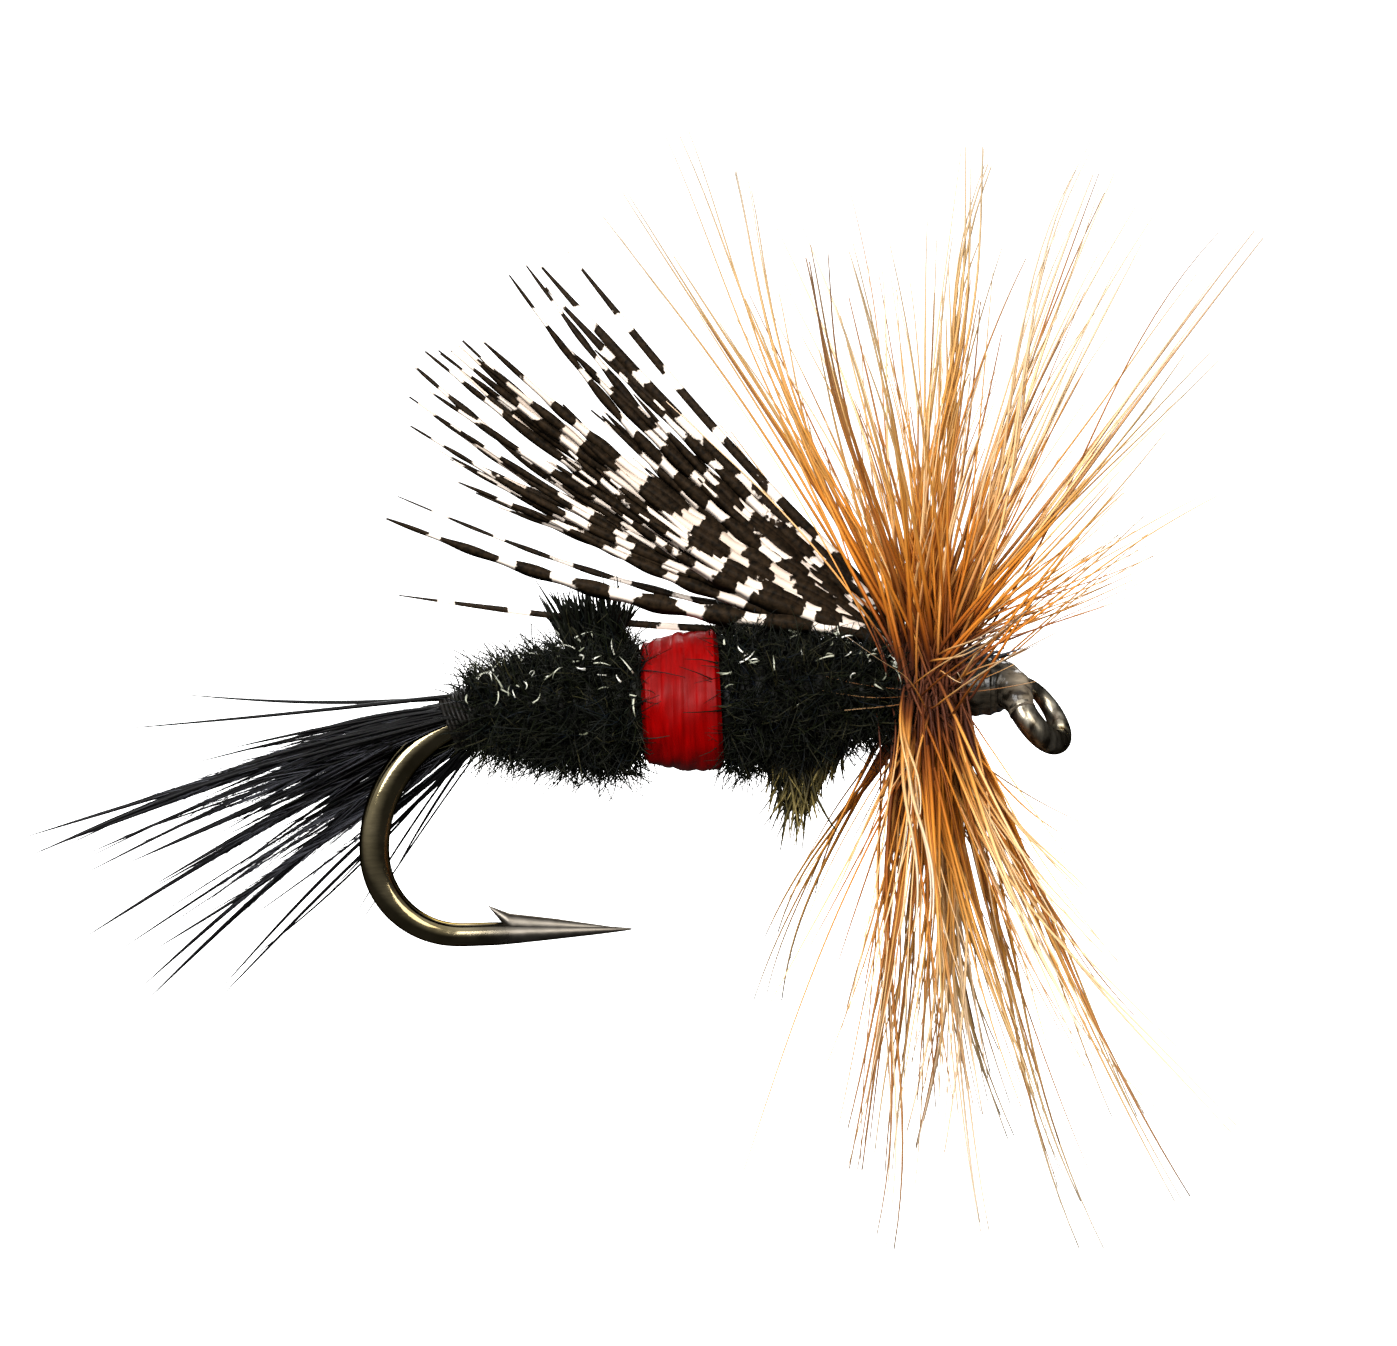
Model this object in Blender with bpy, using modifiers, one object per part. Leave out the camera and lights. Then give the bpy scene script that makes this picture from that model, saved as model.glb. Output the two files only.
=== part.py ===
"""Dry fly: a bronze hook dressed with a tail, a herl and floss body, a barred wing and a hackle.

Units are metres. +X runs forward along the shank to the hook eye, +Z points up to the wing, and +Y is
the far side. The origin is the centre of the turned-down eye. Angles are in degrees.
"""
import math

import bmesh
import bpy
from mathutils import Vector

MM = 0.001
GAP = 0.03 * MM
MERGE = 0.0001 * MM

# Hook
WIRE_RADIUS = 0.29 * MM
SHANK_Z = 0.615 * MM
BEND_START_X = -11.21 * MM
UPPER_BEND_RADIUS = 2.92 * MM
LOWER_BEND_RADIUS = 1.78 * MM
POINT_RISE = -1.0
POINT_LENGTH = 3.6 * MM
POINT_TAPER = 2.8 * MM
POINT_RADIUS = 0.25 * MM
POINT_TIP_RADIUS = 0.03 * MM
# Distance behind the tip, height of the barb's top and underside over the point's axis, half-width
BARB_STATIONS = (
    (0.30 * MM, 0.05 * MM, 0.00 * MM, 0.03 * MM),
    (1.65 * MM, 0.28 * MM, -0.05 * MM, 0.12 * MM),
    (2.50 * MM, 0.41 * MM, -0.05 * MM, 0.15 * MM),
    (2.74 * MM, 0.49 * MM, 0.22 * MM, 0.11 * MM),
    (3.03 * MM, 0.61 * MM, 0.57 * MM, 0.02 * MM),
)
FORGED_HALF_THICKNESS = 0.21 * MM
FORGED_SPREAD = 1.12
FORGED_START_X = -12.2 * MM
FORGED_FULL_X = -12.8 * MM
EYE_RADIUS = 0.75 * MM
EYE_WIRE_RADIUS = 0.28 * MM
EYE_END_RADIUS = 0.13 * MM
EYE_FIRST_ANGLE = -162
EYE_LAST_ANGLE = 150
EYE_ANGLE_STEP = 13
EYE_TURN_DOWN = 56.0
EYE_TWIST = 21.0
NECK_REAR_X = -1.25 * MM
NECK_FRONT_X = -0.83 * MM

# Thread
THREAD_RADIUS = 0.05 * MM
THREAD_BASE_TURNS = 12
THREAD_BASE_REAR_X = -11.0 * MM
THREAD_BASE_FRONT_X = -1.6 * MM
THREAD_BASE_RADIUS = WIRE_RADIUS + 0.02 * MM + THREAD_RADIUS

# Tail
TAIL_TIE_ANGLE = 103.0
TAIL_TIE_LENGTH = 0.55 * MM
TAIL_WRAP_SPAN = (0.06 * MM, 0.44 * MM)
TAIL_WRAP_TURNS = 3
TAIL_ROOT_RADIUS = 0.10 * MM
TAIL_MIDDLE_RADIUS = 0.11 * MM
TAIL_STRAY_RADIUS = 0.045 * MM
TAIL_ROOT_DISTANCE = WIRE_RADIUS + GAP + TAIL_ROOT_RADIUS
TAIL_BULGE = 0.35 * MM
# Clock angle round the wire from the top towards +Y, droop below level, sideways swing, length
TAIL_TUFTS = (
    (-54.0, 13.5, -6.0, 8.6 * MM),
    (28.0, 17.5, 1.5, 8.6 * MM),
    (56.0, 22.0, 4.0, 8.5 * MM),
    (84.0, 27.0, 7.0, 8.8 * MM),
    (112.0, 32.5, 11.0, 8.7 * MM),
    (140.0, 38.5, 17.0, 8.7 * MM),
    (167.0, 45.0, 22.0, 8.5 * MM),
    (195.0, 56.0, 21.0, 6.4 * MM),
)
TAIL_STRAYS = (
    (0.0, -5.0, -1.0, 5.3 * MM),
    (-27.0, 2.0, -4.0, 6.6 * MM),
)

# Body: radius of the underbody at stations along the shank
BODY_STATIONS = (
    (-11.85 * MM, 0.50 * MM),
    (-10.80 * MM, 0.62 * MM),
    (-9.60 * MM, 0.84 * MM),
    (-8.50 * MM, 0.98 * MM),
    (-6.50 * MM, 1.02 * MM),
    (-5.00 * MM, 0.86 * MM),
    (-3.05 * MM, 0.50 * MM),
)
REAR_HERL = (-11.62 * MM, -8.55 * MM)
FLOSS_BAND = (-8.33 * MM, -6.66 * MM)
FRONT_HERL = (-6.42 * MM, -3.25 * MM)
HERL_RADII = (0.17 * MM, 0.33 * MM)
HERL_FULLEST_X = -7.5 * MM
HERL_TAPER_REACH = 4.2 * MM
HERL_STRANDS = 2
HERL_PITCH_ROOM = 1.04
FLOSS_RADII = (1.26 * MM, 1.45 * MM, 1.50 * MM)
FLOSS_EDGE = 0.12 * MM
HERL_TIP_RADII = (0.36 * MM, 0.27 * MM, 0.11 * MM)
HERL_TIP_START = 1.64 * MM
# Place along the shank, clock angle from the top, length, lean along the shank
REAR_HERL_TIP = (-9.30 * MM, 0.0, 0.45 * MM, -0.1 * MM)
FRONT_HERL_TIP = (-5.10 * MM, 182.0, 0.75 * MM, -0.3 * MM)

# Wing
WING_TIE = (-2.98 * MM, -2.72 * MM)
WING_ROOT_X = -2.66 * MM
WING_ROOT_HEIGHT = 0.52 * MM
WING_ROOT_SPREAD = 0.10 * MM
WING_KNEE_X = -3.00 * MM
WING_KNEE_HEIGHT = 1.12 * MM
WING_KNEE_SPREAD = 0.35 * MM
WING_KNEE_SHARE = 0.1
WING_LOW_ANGLE = 17.0
WING_HIGH_ANGLE = 47.0
WING_LENGTHS = (9.6 * MM, 11.6 * MM, 10.4 * MM)
WING_THICKNESS = 0.06 * MM
WING_ROOT_Y = 0.16 * MM
WING_TIP_Y = 1.15 * MM
WING_CROWN = 0.30 * MM
WING_BARB_RADIUS = 0.07 * MM
# Name, share across the fan where it starts, angle above level, length, offset to the side
WING_BARBS = (
    ("wing_barb_top_rear", 1.0, 48.5, 10.6 * MM, -0.08 * MM),
    ("wing_barb_top_front", 1.3, 51.5, 10.2 * MM, 0.10 * MM),
    ("wing_barb_low", 0.0, 8.0, 10.4 * MM, 0.0),
)
WING_WRAP_RADIUS = 0.74 * MM

# Hackle
HACKLE_START_X = -2.50 * MM
HACKLE_END_X = -1.55 * MM
STEM_RADIUS = 0.09 * MM
STEM_COIL_RADIUS = 0.66 * MM
STEM_TURNS = 4
HACKLE_TUFTS = 24
HACKLE_STEP = 137.5
HACKLE_CROWDING = 0.6
HACKLE_LENGTH = 11.5 * MM
HACKLE_ROOT_RADIUS = 0.10 * MM
HACKLE_MID_RADIUS = 0.26 * MM
# Lean of the rearmost and foremost barbs, above the shank and below it
HACKLE_UPPER_LEANS = (-33.0, 44.0)
HACKLE_LOWER_LEANS = (-17.0, 29.0)
HACKLE_SWEEP = 7.0

# Head
HEAD_REAR_X = -1.38 * MM
HEAD_FRONT_X = -0.86 * MM
HEAD_TURNS = 5
HEAD_END_ROOM = 0.06 * MM
# Thickness of the cement at the rear, at its fullest and at the front
HEAD_COAT = (0.08 * MM, 0.13 * MM, 0.05 * MM)

TIP_RADIUS = 0.02 * MM


def clear_scene():
    """Remove every object, so that the file holds only the fly."""
    for item in list(bpy.data.objects):
        bpy.data.objects.remove(item, do_unlink=True)


def make_collection(name):
    """Make a collection in the scene and return it."""
    collection = bpy.data.collections.new(name)
    bpy.context.scene.collection.children.link(collection)
    return collection


def make_material(name, colour, roughness, metallic=0.0):
    """Make a Principled material of one colour."""
    material = bpy.data.materials.new(name)
    material.use_nodes = True
    shader = material.node_tree.nodes["Principled BSDF"]
    shader.inputs["Base Color"].default_value = (*colour, 1.0)
    shader.inputs["Roughness"].default_value = roughness
    shader.inputs["Metallic"].default_value = metallic
    return material


def bronze_wire():
    """Bronzed steel of the hook."""
    return make_material("hook_bronze", (0.16, 0.13, 0.06), 0.25, 1.0)


def black_thread():
    """Waxed black tying thread."""
    return make_material("tying_thread", (0.02, 0.014, 0.012), 0.55)


def padding_thread():
    """Pale floss and feather butts under the body."""
    return make_material("underbody", (0.10, 0.08, 0.06), 0.80)


def clear_varnish():
    """Dark varnish over the head."""
    return make_material("head_varnish", (0.05, 0.035, 0.02), 0.10)


def red_floss():
    """Bright red floss."""
    return make_material("red_floss", (0.72, 0.0, 0.003), 0.35)


def peacock_herl():
    """Near-black green herl."""
    return make_material("peacock_herl", (0.012, 0.016, 0.010), 0.60)


def olive_herl_tip():
    """Olive tip of a herl."""
    return make_material("herl_tip", (0.09, 0.08, 0.025), 0.60)


def black_tail():
    """Black hackle barbs of the tail."""
    return make_material("tail_barbs", (0.010, 0.011, 0.016), 0.45)


def barred_wing():
    """Barred brown and cream flank feather."""
    return make_material("wing_barbs", (0.42, 0.35, 0.30), 0.55)


def ginger_hackle():
    """Ginger-brown hackle."""
    return make_material("hackle_barbs", (0.52, 0.22, 0.05), 0.45)


def link(item, material):
    """Give an object its material and put it in the fly's collection."""
    item.data.materials.append(material)
    FLY.objects.link(item)
    return item


def make_wire(name, points, radii, material, resolution=1):
    """Make a solid wire along points, with one radius or a radius for each point."""
    if not isinstance(radii, (list, tuple)):
        radii = [radii] * len(points)
    curve = bpy.data.curves.new(name, "CURVE")
    curve.dimensions = "3D"
    curve.twist_mode = "MINIMUM"
    curve.bevel_depth = max(radii)
    curve.bevel_resolution = resolution
    curve.use_fill_caps = True
    spline = curve.splines.new("POLY")
    spline.points.add(len(points) - 1)
    for spot, point, radius in zip(spline.points, points, radii):
        spot.co = (*point, 1.0)
        spot.radius = radius / curve.bevel_depth
    spline.use_smooth = True
    return link(bpy.data.objects.new(name, curve), material)


def make_turned(name, outline, material, steps=24):
    """Turn a closed outline of (x, radius) pairs about the shank; its outer side runs front to rear."""
    mesh = bpy.data.meshes.new(name)
    corners = [(radius, 0.0, x) for x, radius in outline]
    sides = [(i, (i + 1) % len(corners)) for i in range(len(corners))]
    mesh.from_pydata(corners, sides, [])
    item = link(bpy.data.objects.new(name, mesh), material)
    item.rotation_euler = (0.0, math.radians(90.0), 0.0)
    item.location = (0.0, 0.0, SHANK_Z)
    screw = item.modifiers.new("turn", "SCREW")
    screw.axis = "Z"
    screw.steps = steps
    screw.render_steps = steps
    screw.use_merge_vertices = True
    screw.merge_threshold = MERGE
    screw.use_smooth_shade = True
    return item


def mesh_from_curve(item):
    """Replace a curve object with a mesh object of the same shape, its caps welded on."""
    graph = bpy.context.evaluated_depsgraph_get()
    mesh = bpy.data.meshes.new_from_object(item.evaluated_get(graph))
    solid = bpy.data.objects.new(item.name + "_solid", mesh)
    solid.matrix_world = item.matrix_world.copy()
    FLY.objects.link(solid)
    name = item.name
    bpy.data.objects.remove(item, do_unlink=True)
    solid.name = name
    work = bmesh.new()
    work.from_mesh(mesh)
    bmesh.ops.remove_doubles(work, verts=work.verts, dist=MERGE)
    bmesh.ops.recalc_face_normals(work, faces=work.faces)
    work.to_mesh(mesh)
    work.free()
    return solid


def polar(angle, radius=1.0):
    """Point in the X-Z plane at an angle from +X towards +Z."""
    turn = math.radians(angle)
    return Vector((radius * math.cos(turn), 0.0, radius * math.sin(turn)))


def mix(start, end, share):
    """Value part of the way from start to end."""
    return start + (end - start) * share


def arc(centre, radius, first, last, count):
    """Points of an arc in the X-Z plane."""
    return [centre + polar(mix(first, last, i / (count - 1)), radius) for i in range(count)]


def upper_bend_centre():
    """Centre of the arc that leaves the shank."""
    return Vector((BEND_START_X, 0.0, SHANK_Z - UPPER_BEND_RADIUS))


def lower_bend_centre():
    """Centre of the tighter arc that runs into the point, level with the upper one."""
    return upper_bend_centre() + Vector((LOWER_BEND_RADIUS - UPPER_BEND_RADIUS, 0.0, 0.0))


def point_direction():
    """Direction of the straight point, from the bend to the tip."""
    return polar(POINT_RISE)


def point_root():
    """Where the bend ends and the straight point begins."""
    return lower_bend_centre() + polar(270.0 + POINT_RISE, LOWER_BEND_RADIUS)


def point_tip():
    """Tip of the needle point."""
    return point_root() + point_direction() * POINT_LENGTH


def eye_axes():
    """Length and width directions of the eye's ring."""
    length = polar(-EYE_TURN_DOWN)
    normal = polar(90.0 - EYE_TURN_DOWN)
    twist = math.radians(EYE_TWIST)
    width = Vector((0.0, math.cos(twist), 0.0)) + normal * math.sin(twist)
    return length, width


def eye_ring():
    """Points of the ring, from the shank down the near side and back up the far side to its cut end."""
    length, width = eye_axes()
    points = []
    for angle in range(EYE_FIRST_ANGLE, EYE_LAST_ANGLE + 1, EYE_ANGLE_STEP):
        turn = math.radians(angle)
        points.append((length * math.cos(turn) + width * math.sin(turn)) * EYE_RADIUS)
    return points


def point_and_taper():
    """Points and radii of the straight point, from the tip back to the bend."""
    tip = point_tip()
    shoulder = tip - point_direction() * POINT_TAPER
    shares = (0.0, 0.33, 0.67, 1.0)
    points = [tip.lerp(shoulder, share) for share in shares]
    radii = [mix(POINT_TIP_RADIUS, POINT_RADIUS, share) for share in shares]
    return points, radii


def barb_section(behind, top, under, half_width, sides):
    """Oval section of the barb at a distance behind the tip."""
    lift = polar(90.0 + POINT_RISE)
    centre = point_tip() - point_direction() * behind + lift * ((top + under) / 2.0)
    corners = []
    for i in range(sides):
        turn = 2.0 * math.pi * i / sides
        rise = lift * ((top - under) / 2.0 * math.cos(turn))
        corners.append(centre + rise + Vector((0.0, half_width * math.sin(turn), 0.0)))
    return corners


def cut_barb(hook):
    """Join the raised barb, a wedge that swells from the needle and ends in a tooth."""
    sides = 10
    corners = []
    for station in BARB_STATIONS:
        corners += barb_section(*station, sides)
    faces = [tuple(range(sides))]
    for ring in range(len(BARB_STATIONS) - 1):
        first = ring * sides
        for i in range(sides):
            after = (i + 1) % sides
            faces.append((first + i, first + sides + i, first + sides + after, first + after))
    faces.append(tuple(range(len(corners) - 1, len(corners) - sides - 1, -1)))
    mesh = bpy.data.meshes.new("barb_wedge")
    mesh.from_pydata(corners, [], faces)
    work = bmesh.new()
    work.from_mesh(mesh)
    bmesh.ops.recalc_face_normals(work, faces=work.faces)
    work.to_mesh(mesh)
    work.free()
    wedge = bpy.data.objects.new("barb_wedge", mesh)
    wedge.hide_render = True
    wedge.display_type = "WIRE"
    CUTTERS.objects.link(wedge)
    joint = hook.modifiers.new("barb", "BOOLEAN")
    joint.operation = "UNION"
    joint.solver = "EXACT"
    joint.object = wedge


def forge_bend(hook):
    """Press the bend flat on both sides, easing in below the tail."""
    for vertex in hook.data.vertices:
        share = (vertex.co.x - FORGED_START_X) / (FORGED_FULL_X - FORGED_START_X)
        limit = mix(WIRE_RADIUS, FORGED_HALF_THICKNESS, min(max(share, 0.0), 1.0))
        on_bend = vertex.co.x < FORGED_START_X
        if on_bend and abs(vertex.co.y) > limit:
            vertex.co.y = math.copysign(limit, vertex.co.y)


def build_hook():
    """One wire: needle point, bend, shank and turned-down eye."""
    points, radii = point_and_taper()
    bend = arc(lower_bend_centre(), LOWER_BEND_RADIUS, 270.0 + POINT_RISE, 180.0, 11)
    bend += arc(upper_bend_centre(), UPPER_BEND_RADIUS, 180.0, 90.0, 12)[1:]
    last = len(bend) - 1
    spread = [math.sin(math.pi * i / last) for i in range(last + 1)]
    points += bend
    for i, share in enumerate(spread):
        wire = mix(POINT_RADIUS, WIRE_RADIUS, min(2.0 * i / last, 1.0))
        radii.append(wire * mix(1.0, FORGED_SPREAD, share))
    points.append(Vector((NECK_REAR_X, 0.0, SHANK_Z)))
    radii.append(WIRE_RADIUS)
    points.append(Vector((NECK_FRONT_X, 0.0, SHANK_Z)))
    radii.append(WIRE_RADIUS)
    ring = eye_ring()
    points += ring
    last = len(ring) - 1
    radii += [mix(EYE_WIRE_RADIUS, EYE_END_RADIUS, i / last) for i in range(last + 1)]
    hook = mesh_from_curve(make_wire("hook", points, radii, bronze_wire(), resolution=4))
    forge_bend(hook)
    hook.data.shade_smooth()
    cut_barb(hook)


def coil(start_x, end_x, turns, radius_at, phase=0.0, steps=10):
    """Points of a coil about the shank, with a radius that depends on x."""
    count = round(turns * steps)
    points = []
    for i in range(count + 1):
        x = mix(start_x, end_x, i / count)
        turn = math.radians(phase) + 2.0 * math.pi * i / steps
        radius = radius_at(x)
        points.append(Vector((x, radius * math.sin(turn), SHANK_Z + radius * math.cos(turn))))
    return points


def body_radius(x):
    """Radius of the underbody at x, read between its stations."""
    for (x0, r0), (x1, r1) in zip(BODY_STATIONS, BODY_STATIONS[1:]):
        if x <= x1:
            return mix(r0, r1, max(x - x0, 0.0) / (x1 - x0))
    return BODY_STATIONS[-1][1]


def build_thread_base():
    """Open spiral of thread along the bare shank."""
    points = coil(
        THREAD_BASE_REAR_X,
        THREAD_BASE_FRONT_X,
        THREAD_BASE_TURNS,
        lambda x: THREAD_BASE_RADIUS,
        steps=8,
    )
    make_wire("thread_base", points, THREAD_RADIUS, black_thread(), resolution=0)


def build_underbody():
    """Tapered padding under the body, with a bore that clears the thread base."""
    bore = THREAD_BASE_RADIUS + THREAD_RADIUS + GAP
    outer = list(reversed(BODY_STATIONS[1:]))
    front_x = BODY_STATIONS[-1][0]
    rear_x = BODY_STATIONS[1][0]
    make_turned("underbody", outer + [(rear_x, bore), (front_x, bore)], padding_thread())


def herl_tube_radius(x):
    """Half-width of a wound herl, full beside the floss and finer at the body's ends."""
    share = min(abs(x - HERL_FULLEST_X) / HERL_TAPER_REACH, 1.0)
    return mix(HERL_RADII[1], HERL_RADII[0], share * share)


def build_herl(name, span, phase):
    """Wind one strand of herl over the body; strands lie side by side in each other's pitch."""
    steps = 12
    points = []
    radii = []
    x = span[0]
    turn = math.radians(phase)
    while x < span[1]:
        tube = herl_tube_radius(x)
        distance = body_radius(x) + 2.0 * GAP + tube
        points.append(Vector((x, distance * math.sin(turn), SHANK_Z + distance * math.cos(turn))))
        radii.append(tube)
        pitch = HERL_STRANDS * (2.0 * tube + GAP) * HERL_PITCH_ROOM
        x += pitch / steps
        turn += 2.0 * math.pi / steps
    make_wire(name, points, radii, peacock_herl())


def build_floss_band():
    """Swelling band of wound floss."""
    rear_x, front_x = FLOSS_BAND
    bore = max(body_radius(rear_x), body_radius(front_x)) + GAP
    rear, middle, front = FLOSS_RADII
    outline = [
        (front_x, bore + FLOSS_EDGE),
        (front_x - FLOSS_EDGE, front),
        (mix(rear_x, front_x, 0.5), middle),
        (rear_x + FLOSS_EDGE, rear),
        (rear_x, bore + FLOSS_EDGE),
        (rear_x, bore),
        (front_x, bore),
    ]
    make_turned("floss_band", outline, red_floss())


def build_tuft(name, points, root, middle, material):
    """A bundle of barbs: narrow at the root, fuller at mid-length and fine at the tip."""
    last = len(points) - 1
    radii = []
    for i in range(last + 1):
        share = i / last
        if share < 0.5:
            radii.append(mix(root, middle, share * 2.0))
        else:
            radii.append(mix(middle, TIP_RADIUS, (share - 0.5) * 2.0))
    make_wire(name, points, radii, material)


def tail_frame():
    """Centre of the wire where the tail is tied in, and the wire's direction there."""
    centre = upper_bend_centre() + polar(TAIL_TIE_ANGLE, UPPER_BEND_RADIUS)
    return centre, polar(TAIL_TIE_ANGLE + 90.0)


def around_wire(centre, along, clock, distance):
    """Point beside the wire at a clock angle from its upper side towards +Y."""
    side = Vector((0.0, 1.0, 0.0))
    up = Vector((-along.z, 0.0, along.x))
    if up.z < 0.0:
        up.negate()
    turn = math.radians(clock)
    return centre + up * (distance * math.cos(turn)) + side * (distance * math.sin(turn))


def tail_points(clock, droop, swing, length, distance):
    """Route of a tail bundle: along the wire under its wraps, then out in its own direction."""
    centre, along = tail_frame()
    root = around_wire(centre, along, clock, distance)
    leave = root + along * TAIL_TIE_LENGTH
    turn = math.radians(swing)
    away = polar(180.0 + droop)
    away = Vector((away.x * math.cos(turn), math.sin(turn), away.z * math.cos(turn)))
    outward = (leave - centre - along * TAIL_TIE_LENGTH).normalized()
    points = [root, leave]
    for share in (0.12, 0.35, 0.65, 1.0):
        bulge = outward * (TAIL_BULGE * math.sin(math.pi * share))
        points.append(leave + away * (length * share) + bulge)
    return points


def build_tail():
    """Fan of black barbs in bundles, and the single barbs above it."""
    material = black_tail()
    for i, (clock, droop, swing, length) in enumerate(TAIL_TUFTS):
        points = tail_points(clock, droop, swing, length, TAIL_ROOT_DISTANCE)
        build_tuft(f"tail_barbs_{i + 1}", points, TAIL_ROOT_RADIUS, TAIL_MIDDLE_RADIUS, material)
    for i, (clock, droop, swing, length) in enumerate(TAIL_STRAYS):
        points = tail_points(clock, droop, swing, length, TAIL_ROOT_DISTANCE)
        build_tuft(f"tail_stray_barb_{i + 1}", points, TAIL_STRAY_RADIUS, TAIL_STRAY_RADIUS, material)


def build_tail_wraps():
    """Turns of thread round the wire and the roots of the tail."""
    centre, along = tail_frame()
    distance = TAIL_ROOT_DISTANCE + TAIL_ROOT_RADIUS + GAP + THREAD_RADIUS
    steps = 10
    count = TAIL_WRAP_TURNS * steps
    points = []
    for i in range(count + 1):
        shift = along * mix(TAIL_WRAP_SPAN[0], TAIL_WRAP_SPAN[1], i / count)
        points.append(around_wire(centre + shift, along, 360.0 * i / steps, distance))
    make_wire("tail_tie_wraps", points, THREAD_RADIUS, black_thread())


def build_herl_tip(name, x, clock, length, lean, material):
    """Tuft of loose flue that stands out from the wound herl."""
    turn = math.radians(clock)
    out = Vector((0.0, math.sin(turn), math.cos(turn)))
    root = Vector((x, 0.0, SHANK_Z)) + out * HERL_TIP_START
    tip = root + out * length + Vector((lean, 0.0, 0.0))
    make_wire(name, [root, root.lerp(tip, 0.5), tip], HERL_TIP_RADII, material)


def wing_direction(share):
    """Direction of the wing barb at a share of the fan from its lower to its upper edge."""
    return polar(180.0 - mix(WING_LOW_ANGLE, WING_HIGH_ANGLE, share))


def wing_length(share):
    """Length of the wing barb at a share of the fan, longest in the middle."""
    low, middle, high = WING_LENGTHS
    if share < 0.5:
        return mix(low, middle, share * 2.0)
    return mix(middle, high, share * 2.0 - 1.0)


def wing_knee(across):
    """Where a barb at a share across the fan turns from the tie into the wing."""
    return Vector((WING_KNEE_X, 0.0, SHANK_Z + WING_KNEE_HEIGHT + WING_KNEE_SPREAD * across))


def wing_point(along, across, side):
    """Point of a wing slip: along a barb from root to tip, across the fan, on side -1 or 1."""
    root = Vector((WING_ROOT_X, 0.0, SHANK_Z + WING_ROOT_HEIGHT + WING_ROOT_SPREAD * across))
    knee = wing_knee(across)
    if along <= WING_KNEE_SHARE:
        point = root.lerp(knee, along / WING_KNEE_SHARE)
    else:
        reach = (along - WING_KNEE_SHARE) / (1.0 - WING_KNEE_SHARE)
        point = knee + wing_direction(across) * (wing_length(across) * reach)
    width = mix(WING_ROOT_Y, WING_TIP_Y, along)
    crown = WING_CROWN * math.sin(math.pi * across) * along
    point.y = side * (width + crown)
    return point


def build_wing_slip(name, side):
    """One slip of the wing: a thin, crowned fan."""
    rows = 11
    columns = 7
    corners = []
    for i in range(rows):
        for j in range(columns):
            corners.append(wing_point(i / (rows - 1), j / (columns - 1), side))
    faces = []
    for i in range(rows - 1):
        for j in range(columns - 1):
            first = i * columns + j
            faces.append((first, first + 1, first + columns + 1, first + columns))
    mesh = bpy.data.meshes.new(name)
    mesh.from_pydata(corners, [], faces)
    mesh.shade_smooth()
    slip = link(bpy.data.objects.new(name, mesh), barred_wing())
    shell = slip.modifiers.new("shell", "SOLIDIFY")
    shell.thickness = WING_THICKNESS
    shell.offset = 0.0


def build_wing_barb(name, across, angle, length, y):
    """A single barred barb that stands away from the wing's edge."""
    start = wing_knee(across) + Vector((0.0, y, 0.0))
    end = start + polar(180.0 - angle, length)
    points = [start.lerp(end, share) for share in (0.0, 0.33, 0.66, 1.0)]
    build_tuft(name, points, WING_BARB_RADIUS, WING_BARB_RADIUS, barred_wing())


def build_wing():
    """Two slips back to back, and the single barbs along their edges."""
    build_wing_slip("wing_slip_near", -1.0)
    build_wing_slip("wing_slip_far", 1.0)
    for barb in WING_BARBS:
        build_wing_barb(*barb)


def build_wing_wraps():
    """Turns of thread that bind the wing roots down."""
    points = coil(WING_TIE[0], WING_TIE[1], 2, lambda x: WING_WRAP_RADIUS)
    make_wire("wing_tie_wraps", points, THREAD_RADIUS, black_thread())


def build_hackle_stem():
    """The hackle's quill, wound in touching turns in front of the wing."""
    points = coil(HACKLE_START_X, HACKLE_END_X, STEM_TURNS, lambda x: STEM_COIL_RADIUS, steps=12)
    make_wire("hackle_stem", points, STEM_RADIUS, ginger_hackle())


def hackle_clock(index):
    """Clock angle of a clump in radians: a golden-angle spiral, crowded above and below the shank."""
    turn = math.radians(HACKLE_STEP * (index + 0.5))
    return turn - HACKLE_CROWDING / 2.0 * math.sin(2.0 * turn)


def hackle_lean(share, height):
    """Lean of a clump at a share along the stem, wider above the shank (height 1) than below (-1)."""
    upper = mix(*HACKLE_UPPER_LEANS, share)
    lower = mix(*HACKLE_LOWER_LEANS, share)
    return mix(lower, upper, (height + 1.0) / 2.0)


def build_hackle():
    """Clumps of barbs that radiate from the wound quill and lean from rear to front."""
    material = ginger_hackle()
    root_radius = STEM_COIL_RADIUS + STEM_RADIUS + GAP
    for i in range(HACKLE_TUFTS):
        share = (i + 0.5) / HACKLE_TUFTS
        turn = hackle_clock(i)
        out = Vector((0.0, math.sin(turn), math.cos(turn)))
        x = mix(HACKLE_START_X, HACKLE_END_X, share)
        start = Vector((x, 0.0, SHANK_Z)) + out * root_radius
        lean = hackle_lean(share, out.z)
        points = []
        for reach in (0.0, 0.25, 0.5, 0.75, 1.0):
            tilt = math.radians(lean + HACKLE_SWEEP * (reach - 1.0) * math.copysign(1.0, lean))
            direction = out * math.cos(tilt) + Vector((math.sin(tilt), 0.0, 0.0))
            points.append(start + direction * (HACKLE_LENGTH * reach))
        build_tuft(f"hackle_barbs_{i + 1:02d}", points, HACKLE_ROOT_RADIUS, HACKLE_MID_RADIUS, material)


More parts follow.
